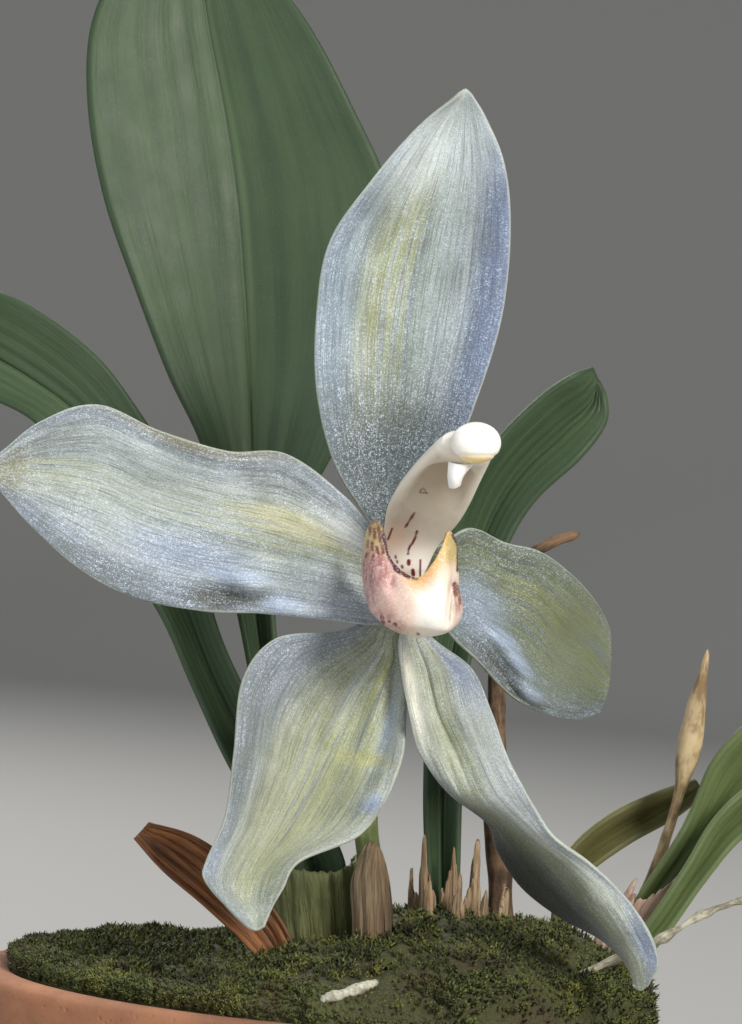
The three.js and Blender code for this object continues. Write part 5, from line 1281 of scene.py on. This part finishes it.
for seed, (name, tepal) in enumerate(TEPALS.items()):
    claw_share = 1 / (len(tepal["rows"]) - 1)
    folds = [(claw_share + at * (1 - claw_share), *fold) for at, *fold in tepal["folds"]]
    grid = tepal_surface(
        tepal["rows"], folds, tepal["along"], tepal["across"], tepal["veins"], tepal["ruffle"], seed,
    )
    material = tepal_material(f"{name}_tissue", tepal["look"])
    piece = sheet_piece(f"{name}_tissue", flower_frame(grid), TEPAL_THICKNESS, material, edge_share=0.4)
    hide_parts(name)

# The lip. A thick waxy bag, open at the top, with a tall lobe at each side and its deepest part
# forward and right. It is white and pink outside, orange below the rim, and its olive lobes carry
# red-brown spots. The white at the front right is partly a painted highlight, the pink that deepens
# to the left is partly painted shade, and the wax has painted glints. Each row of the net runs round
# the bag from the front through the right side.
LIP_RIM = [
    [0.9, -5.9, 3.25], [1.9, -5.7, 4.2], [2.6, -5.2, 5.4], [3.25, -4.4, 6.6], [3.8, -3.2, 5.5],
    [3.5, -1.8, 3.6], [2.2, -0.6, 1.6], [0.6, -0.2, 0.8], [-1.2, -0.5, 1.8], [-2.5, -1.5, 4.2],
    [-2.95, -2.6, 6.3], [-2.2, -3.7, 7.45], [-1.6, -4.6, 6.4], [-1.1, -5.3, 4.7], [-0.2, -5.8, 3.7],
]
LIP_BELLY = [
    [1.2, -6.9, 1.6], [2.3, -6.8, 1.8], [3.1, -6, 2.5], [3.45, -4.9, 3.2], [3.95, -3.5, 2.7],
    [3.7, -1.9, 1.9], [2.5, -0.5, 0.9], [0.6, -0.1, 0.3], [-1.2, -0.4, 0.9], [-2.7, -1.5, 2.4],
    [-3.2, -2.9, 3.6], [-2.95, -4.3, 3.8], [-2.3, -5.5, 3.2], [-1.3, -6.3, 2.4], [0, -6.8, 1.9],
]
LIP_CHIN = [
    [1.2, -6.4, -0.2], [2.3, -6.3, -0.35], [3.35, -5.6, -0.1], [4.1, -4.6, 0.6], [4.1, -3.4, 0.8],
    [3.4, -2, 0.4], [2, -1, -0.2], [0.6, -0.8, -0.5], [-0.8, -1, -0.3], [-2, -1.9, 0.4],
    [-2.65, -3.1, 1], [-2.45, -4.5, 0.8], [-1.8, -5.4, 0.3], [-0.9, -6, 0], [0.1, -6.4, -0.1],
]
LIP_FOOT = [
    [1.1, -4.9, -0.95], [1.9, -4.8, -1], [2.8, -4.5, -0.9], [3.2, -4, -0.6], [2.9, -3.3, -0.6],
    [2.3, -2.7, -0.7], [1.5, -2.3, -0.9], [0.6, -2.2, -1], [-0.2, -2.4, -0.9], [-0.9, -2.8, -0.6],
    [-1.3, -3.4, -0.4], [-1.2, -4.1, -0.5], [-0.8, -4.6, -0.7], [-0.2, -4.9, -0.85], [0.4, -5, -0.95],
]
LIP_BOTTOM = [0.8, -3.7, -1.2]
LIP_WALL = 0.5
LIP_ROWS = 96
LIP_NEAR_BOTTOM = 0.985
LIP_SPOKES = 220
WAX_SCALE = 9000.0
# Marks are short strokes seen from the front: across and up at one end, then at the other, and half
# the stroke's width.
LIP_SPOTS = [
    (-2.6, 6.85, -2.62, 6.4, 0.07), (-2.3, 6.75, -2.22, 6.1, 0.09), (-1.98, 6.85, -1.8, 5.75, 0.08),
    (-2.45, 5.75, -2.4, 5.25, 0.08), (-2.75, 5.85, -2.78, 5.45, 0.06), (-2.12, 5.45, -2, 5, 0.08),
    (-1.72, 5.55, -1.62, 5, 0.07), (-2.36, 4.8, -2.32, 4.5, 0.07), (-2.85, 4.95, -2.88, 4.7, 0.05),
    (3.55, 2.75, 3.64, 2, 0.12), (3.78, 2.6, 3.86, 2.15, 0.08), (3.92, 1.75, 3.97, 1.35, 0.06),
    (-1.72, 0.36, -1.7, 0.3, 0.1), (-1.66, -0.02, -1.62, -0.1, 0.11), (-0.78, -0.12, -0.72, -0.18, 0.09),
    (0.88, -0.86, 0.94, -0.9, 0.07), (-1.2, 0.05, -1.16, 0.02, 0.05),
]
LIP_RIM_LINE = [
    (-1.62, 6.5, -1.18, 4.85, 0.15), (-1.18, 4.85, -0.78, 4.2, 0.17), (-0.78, 4.2, -0.1, 3.58, 0.18),
    (-0.1, 3.58, 0.75, 3.2, 0.13), (-0.62, 3.95, -0.35, 3.75, 0.26), (0.05, 3.5, 0.2, 3.4, 0.22),
    (3.5, 6.3, 3.9, 5.5, 0.1), (3.9, 5.5, 3.88, 4.5, 0.1), (3.86, 4.4, 3.8, 3.7, 0.06),
]
LIP_STAINS = [
    (-2.75, 4.6, -2.8, 3.5, 0.4), (-2.05, 4.7, -1.75, 3.9, 0.22), (-1.45, 3.75, -2.2, 3.25, 0.22),
    (-2.95, 3.2, -2.75, 1.6, 0.3), (-1.35, 3.15, -1.05, 2.95, 0.16), (3.7, 2.6, 3.85, 1.2, 0.25),
    (-1.7, 0.35, -0.7, -0.3, 0.3),
]


def stroke_mask(x, z, strokes, soft=0.08):
    """How strongly each point is marked: one on a stroke, and fading out past its half width."""
    mask = np.zeros_like(x)
    for x0, z0, x1, z1, half in strokes:
        run = np.array([x1 - x0, z1 - z0])
        t = np.clip(((x - x0) * run[0] + (z - z0) * run[1]) / max(run @ run, 1e-9), 0, 1)
        off = np.hypot(x - x0 - t * run[0], z - z0 - t * run[1])
        mask = np.maximum(mask, np.clip((half + soft - off) / soft, 0, 1))
    return mask


def closed_curve(points, count):
    """Places on a smooth Catmull-Rom curve that runs round through the points and back to the first."""
    place = np.arange(count) / count * len(points)
    k = place.astype(int)
    w = (place - k).reshape(-1, *[1] * (points.ndim - 1))
    before, start, end, after = (points[(k + step) % len(points)] for step in (-1, 0, 1, 2))
    return between_points(before, start, end, after, w)


def lip_surface():
    """The bag's outer face: a smooth curve down each column of the net to the bottom, then a closed one
    round each set of points found on them. A few soft pleats and a crease are pressed into it."""
    bottom = np.repeat([LIP_BOTTOM], len(LIP_RIM), axis=0)
    net = np.array([LIP_RIM, LIP_BELLY, LIP_CHIN, LIP_FOOT, bottom], dtype=float)
    columns = smooth_curve(net, np.linspace(0, LIP_NEAR_BOTTOM, LIP_ROWS))
    grid = closed_curve(columns.transpose(1, 0, 2), LIP_SPOKES).transpose(1, 0, 2)
    x, z = grid[..., 0], grid[..., 2]
    in_front = np.clip((-3.6 - grid[..., 1]) / 0.8, 0, 1)
    crease = 0.55 * np.exp(-(((x - 3.15 - 0.10 * (z - 1)) / 0.17) ** 2)) * np.clip((3.4 - z) / 1.2, 0, 1)
    crease *= np.clip((z + 0.6) / 0.8, 0, 1)
    dimple = 0.28 * np.exp(-(((x + 0.9) / 0.5) ** 2) - ((z - 2.6) / 0.8) ** 2)
    pleats = 0.05 * np.sin(3.1 * x + 1.4 * z) * np.clip(z / 2, 0, 1)
    grid[..., 1] += (crease + dimple + pleats) * in_front
    return grid


def ring_normals(grid):
    """Unit normals of a grid that is closed across, by differences round and down."""
    round_it = np.roll(grid, -1, axis=1) - np.roll(grid, 1, axis=1)
    normal = np.cross(round_it, np.gradient(grid, axis=0))
    return normal / np.maximum(np.linalg.norm(normal, axis=-1, keepdims=True), 1e-9)


LIP_CREAM = (0.790, 0.620, 0.500, 1)
LIP_PINK = (0.620, 0.390, 0.330, 1)
LIP_FRECKLE = (0.860, 0.740, 0.670, 1)
LIP_ROSE = (0.340, 0.130, 0.130, 1)
LIP_WHITE = (0.940, 0.890, 0.830, 1)
LIP_ORANGE = (0.720, 0.360, 0.080, 1)
LIP_OLIVE_DARK = (0.350, 0.260, 0.060, 1)
LIP_OLIVE = (0.600, 0.450, 0.120, 1)
LIP_STAIN = (0.300, 0.095, 0.095, 1)
LIP_SPOT = (0.140, 0.022, 0.014, 1)
LIP_DARK_RIM = (0.075, 0.010, 0.020, 1)
LIP_PAINTED_GLINT = (1.0, 0.98, 0.96, 1)
waxy, tree, shader = new_material("waxy_lip")
place = object_place(tree)
upright = add(tree, "ShaderNodeMapping", {"Vector": place, "Scale": (2600.0, 2600.0, 700.0)}).outputs[0]
threads = noise(upright, 1.0, 3.0)
glint, _, height = glitter(place, WAX_SCALE)
rosy = times(marked(tree, "rose"), fade(threads, 0.35, 0.65, 0.45, 0.95))
stained = times(marked(tree, "stain"), fade(threads, 0.35, 0.7, 0.2, 0.9))
olive = mix(cloudy(place, 420.0, 2.0), LIP_OLIVE_DARK, LIP_OLIVE)
colour = mix(marked(tree, "pink_and_shade"), LIP_CREAM, LIP_PINK)
for mask, over in (
    (times(cloudy(place, 1500.0, 2.4), 0.30), LIP_FRECKLE),
    (rosy, LIP_ROSE), (marked(tree, "white_and_highlight"), LIP_WHITE), (marked(tree, "orange"), LIP_ORANGE),
    (marked(tree, "olive"), olive), (stained, LIP_STAIN), (marked(tree, "spot"), LIP_SPOT),
    (marked(tree, "dark_rim"), LIP_DARK_RIM),
    # Painted glints: bright specks where a wax cell's glint is high.
    (times(calc("POWER", glint, 4.0), 0.30), LIP_PAINTED_GLINT),
):
    colour = mix(mask, colour, over)
feed(shader, {
    "Base Color": colour, "Roughness": 0.36, "Normal": bumped(0.4, 0.00004, height),
    "Subsurface Weight": 0.45, "Subsurface Radius": (1.0, 0.6, 0.45), "Subsurface Scale": 0.0008,
})

outside = lip_surface()
normal = ring_normals(outside)
if normal[LIP_ROWS // 2, 0, 1] > 0:
    normal = -normal
rim_thin = (0.5 + 0.5 * np.clip(np.arange(LIP_ROWS) / 12, 0, 1))[:, None, None]
inside = outside - normal * LIP_WALL * rim_thin
bottom_inside = np.array(LIP_BOTTOM) + [0, 0, LIP_WALL]
lip_local = np.concatenate([
    outside.reshape(-1, 3), [LIP_BOTTOM], inside.reshape(-1, 3), [bottom_inside],
])
shell = LIP_ROWS * LIP_SPOKES + 1
first = np.arange(LIP_SPOKES)
following = (first + 1) % LIP_SPOKES
last = (LIP_ROWS - 1) * LIP_SPOKES
lip_quads = ring_faces(LIP_ROWS, LIP_SPOKES)
lip_faces = np.concatenate([
    lip_quads[:, ::-1], lip_quads + shell,
    np.stack([first, following, shell + following, shell + first], axis=-1),
])
lip_caps = np.concatenate([
    np.stack([last + first, np.full(LIP_SPOKES, shell - 1), last + following], axis=-1),
    np.stack([shell + last + following, np.full(LIP_SPOKES, 2 * shell - 1), shell + last + first], axis=-1),
])
x, y, z = lip_local.T
drop = (outside[:1, :, 2] - outside[..., 2]).ravel()
drop = np.tile(np.append(drop, 9), 2)
in_front = np.clip((-3.0 - y) / 1.0, 0, 1)
is_outside = np.repeat([1.0, 0.0], shell)
left_lobe = np.clip((z - 4.5) / 1.3, 0, 1) * np.clip((0.2 - x) / 0.5, 0, 1)
right_lobe = np.clip((z - 3.7) / 0.9, 0, 1) * np.clip((x - 2.0) / 0.6, 0, 1)
at_edge = np.exp(-((drop / 0.30) ** 2))
dark_rim = np.maximum.reduce([
    stroke_mask(x, z, LIP_RIM_LINE, 0.10) * np.clip((-2.6 - y) / 0.6, 0, 1),
    at_edge * np.clip((z - 6.7) / 0.4, 0, 1) * (x < 0) * 0.8,
    at_edge * np.clip((x - 3.3) / 0.3, 0, 1) * (z > 4.2) * 0.9,
])
flank = np.clip((x - 3.4) / 0.4, 0, 1) * np.clip((3.2 - z) / 0.8, 0, 1)
lip_values = {
    # Pink that deepens towards the left, partly real and partly painted shade; on the right flank it is the
    # lip's own pink.
    "pink_and_shade": np.clip((1.0 - x) / 2.4, 0, 1) + 0.7 * flank,
    "rose": np.exp(-(((z - 3.9) / 1.3) ** 2)) * np.clip((-0.6 - x) / 0.9, 0, 1),
    # White on the front at the right, partly real and partly a painted highlight.
    "white_and_highlight": np.exp(-(((x - 1.9) / 1.25) ** 4) - ((z - 0.8) / 2.1) ** 4) * in_front * is_outside,
    "olive": np.maximum(left_lobe, right_lobe) * 0.85,
    "orange": np.exp(-(drop ** 2)) * np.clip((x + 0.5) / 0.9, 0, 1) * np.clip((3.5 - x) / 0.5, 0, 1) * 0.9,
    "stain": stroke_mask(x, z, LIP_STAINS, 0.5) * is_outside * in_front * 0.9,
    "spot": stroke_mask(x, z, LIP_SPOTS) * is_outside * 0.9,
    "dark_rim": dark_rim,
}
lip = make_piece("lip_bag", flower_frame(lip_local), [lip_faces, lip_caps], waxy, values=lip_values)
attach(lip, "root")
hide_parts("lip")

# The column. A waxy cream club that leans up and forward over the lip: round behind, hollowed in
# front below its tip, with a few purple strokes low down. Its hooded tip holds the round anther cap,
# and below the cap hangs the beak's small white flap.
COLUMN_PATH = [
    [0.6, 0.4, 1.4], [-0.1, 1, 3.6], [0.4, 0.2, 5.9], [1.7, -2.4, 8.5], [3.2, -5.6, 11], [4.85, -8.9, 13.15],
]
COLUMN_HALF_WIDTHS = [1, 1.7, 2.1, 2.7, 2.8, 2.6, 2.3, 1.8]
COLUMN_BACK = 1.3
COLUMN_FRONT = 0.6
COLUMN_STEPS = 210
COLUMN_SIDES = 150
COLUMN_MARKS = [
    (0.66, 7.92, 0.02, 6.9, 0.05), (0.88, 6.6, 0.71, 5.98, 0.05), (0.71, 5.98, 0.28, 5.3, 0.06),
    (0.28, 5.3, 0.22, 4.87, 0.04), (-0.96, 6.78, -1.26, 5.98, 0.05), (0.28, 4.36, 0.28, 4.16, 0.12),
    (0.58, 3.66, 0.62, 3.36, 0.12), (1.14, 4.44, 1.12, 2.84, 0.05), (-0.7, 4.74, -0.68, 4.6, 0.05),
    (-0.6, 4.38, -0.56, 4.26, 0.05), (-0.24, 4, -0.18, 3.88, 0.07),
]
COLUMN_SCAR = [
    (1.02, 9.44, 1.28, 9.78, 0.022), (1.28, 9.78, 1.6, 9.36, 0.022), (1.6, 9.36, 1.02, 9.44, 0.022),
]

cream, tree, shader = new_material("waxy_column")
place = object_place(tree)
height = glitter(place, WAX_SCALE)[2]
colour = mix(cloudy(place, 500.0, 1.8), (0.560, 0.500, 0.400, 1), (0.720, 0.670, 0.570, 1))
for mark, over in {
    "cup_tan_and_shade": (0.430, 0.350, 0.240, 1), "pale": (0.950, 0.910, 0.840, 1), "peach": (0.830, 0.600, 0.440, 1),
    "yellow": (0.860, 0.640, 0.220, 1), "mark": (0.160, 0.014, 0.030, 1), "scar": (0.110, 0.060, 0.030, 1),
}.items():
    colour = mix(marked(tree, mark), colour, over)
feed(shader, {
    "Base Color": colour, "Roughness": 0.32, "Normal": bumped(0.3, 0.00003, height),
    "Subsurface Weight": 0.5, "Subsurface Radius": (1.0, 0.8, 0.55), "Subsurface Scale": 0.0010,
})


def club_rings():
    """Rings of points round the column's path: wide to each side, deeper behind than in front, with a
    cup pressed into the front below the tip and a closed dome at the tip. Also gives the cup's depth."""
    centre, forward, _, _ = along_path(COLUMN_PATH, COLUMN_STEPS)
    across = np.array([1.0, 0, 0]) - forward * forward[:, :1]
    across /= np.linalg.norm(across, axis=1, keepdims=True)
    backward = np.cross(across, forward)
    t = np.linspace(0, 1, COLUMN_STEPS + 1)[:, None]
    half = smooth_curve(np.asarray(COLUMN_HALF_WIDTHS, dtype=float)[:, None], t[:, 0])
    close = np.minimum(1, np.minimum(0.55 + 3 * t, 0.7 + 3 * (1 - t)))
    angle = 2 * np.pi * np.arange(COLUMN_SIDES) / COLUMN_SIDES
    wide, deep = np.cos(angle)[None], np.sin(angle)[None]
    arch = 0.5 * (1 - np.tanh((t - 0.845 + 0.13 * wide ** 2) / 0.018))
    arch = arch * 0.5 * (1 + np.tanh((t - 0.60) / 0.10))
    cup = arch * 0.5 * (1 - np.tanh((np.abs(wide) - 0.70) / 0.10))
    hood = 1 + 0.25 * np.clip((t - 0.75) / 0.2, 0, 1)
    depth = np.where(deep > 0, COLUMN_BACK * hood, COLUMN_FRONT) * deep * close
    depth = np.where(deep > 0, depth, depth + 0.85 * cup * np.sqrt(np.abs(deep)))
    dome = np.sqrt(np.clip((1 - t) * 16, 0, 1) + 0.003 * (t < 1))
    rings = (centre[:, None] + across[:, None] * (half * wide * dome)[..., None]
             - backward[:, None] * (depth * dome)[..., None])
    return rings, centre, cup * (deep < 0), deep, wide, t


rings, centre, cup, deep, wide, t = club_rings()
column_local = np.concatenate([rings.reshape(-1, 3), centre[:1], centre[-1:]])
column_caps = end_fans(COLUMN_STEPS + 1, COLUMN_SIDES, len(column_local) - 2, len(column_local) - 1)[:, ::-1]
x, y, z = column_local.T
facing = np.append(np.broadcast_to(deep < 0.05, cup.shape).ravel(), [0, 0])
pale = np.clip((np.abs(wide) - 0.72) / 0.2, 0, 1) * np.clip((t - 0.45) / 0.3, 0, 1) * 0.5
pale = np.maximum(pale, np.clip((t - 0.86) / 0.04, 0, 1) * 0.8)
# Painted glow: the column's foot, down in the lip where the lamps don't reach, is whitened.
low_painted_glow = 0.95 * np.exp(-(((z - 4.6) / 1.5) ** 2) - ((x - 0.7) / 1.6) ** 2)
column = make_piece(
    "column_club", flower_frame(column_local),
    [ring_faces(COLUMN_STEPS + 1, COLUMN_SIDES), column_caps], cream, values={
        # The cup in front is darker tan: partly the stigma's own colour, partly painted shade in the hollow.
        "cup_tan_and_shade": np.append(cup.ravel(), [0, 0]) * 0.9,
        "pale": np.maximum(np.append(pale.ravel(), [0, 0]), low_painted_glow),
        "peach": np.exp(-(((z - 6.2) / 1.1) ** 2) - ((x + 0.9) / 1.0) ** 2) * 0.7,
        "yellow": np.zeros_like(x),
        "mark": stroke_mask(x, z, COLUMN_MARKS, 0.05) * facing,
        "scar": stroke_mask(x, z, COLUMN_SCAR, 0.03) * facing * 0.9,
    },
)
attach(column, "root")
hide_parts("column")

CAP_CENTRE = (5, -10.0, 12.95)
CAP_RADII = (1.8, 1.4, 1.5)
CAP_ROWS = 60
CAP_SIDES = 96
polar = np.pi * (np.arange(CAP_ROWS + 1) / CAP_ROWS) * 0.998 + 0.003
around = 2 * np.pi * np.arange(CAP_SIDES) / CAP_SIDES
ball = np.stack([
    np.sin(polar)[:, None] * np.cos(around), np.sin(polar)[:, None] * np.sin(around),
    np.repeat(np.cos(polar)[:, None], CAP_SIDES, axis=1),
], axis=-1)
seam = 1 - 0.04 * np.exp(-(((ball[..., 2] + 0.62) / 0.07) ** 2))
cap_local = (ball * seam[..., None] * CAP_RADII + CAP_CENTRE).reshape(-1, 3)
low_band = np.clip((-0.58 - ball[..., 2]) / 0.14, 0, 1).ravel()
cap_ends = np.stack([np.arange(CAP_SIDES), CAP_ROWS * CAP_SIDES + np.arange(CAP_SIDES)[::-1]])


def all_pale(shape, **others):
    """The column skin's values for a piece that is pale all over, with any others as given."""
    none = np.zeros(shape)
    plain = {key: none for key in ("cup_tan_and_shade", "peach", "yellow", "mark", "scar")}
    return {**plain, "pale": none + 1, **others}


anther_cap = make_piece(
    "anther_cap_bead", flower_frame(cap_local),
    [ring_faces(CAP_ROWS + 1, CAP_SIDES)[:, ::-1], cap_ends], cream,
    values=all_pale(len(cap_local), yellow=low_band * 0.75),
)
BEAK_THICKNESS = 0.4
BEAK = [
    [[3.05, -9.4, 11.6], [3.9, -9.9, 11.4], [4.9, -9.4, 11.5]],
    [[3.0, -9.5, 10.6], [3.55, -9.9, 10.4], [4.15, -9.5, 10.7]],
    [[3.1, -9.3, 9.75], [3.45, -9.5, 9.7], [3.85, -9.3, 9.9]],
]
flap_grid = flower_frame(net_surface(BEAK, 40, 32))
beak_flap = sheet_piece(
    "beak_flap_skin", flap_grid, BEAK_THICKNESS, cream, values=all_pale(flap_grid.shape[:2]),
)
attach(anther_cap, "root")
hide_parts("anther_cap")
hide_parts("beak_flap")

bpy.context.view_layer.update()
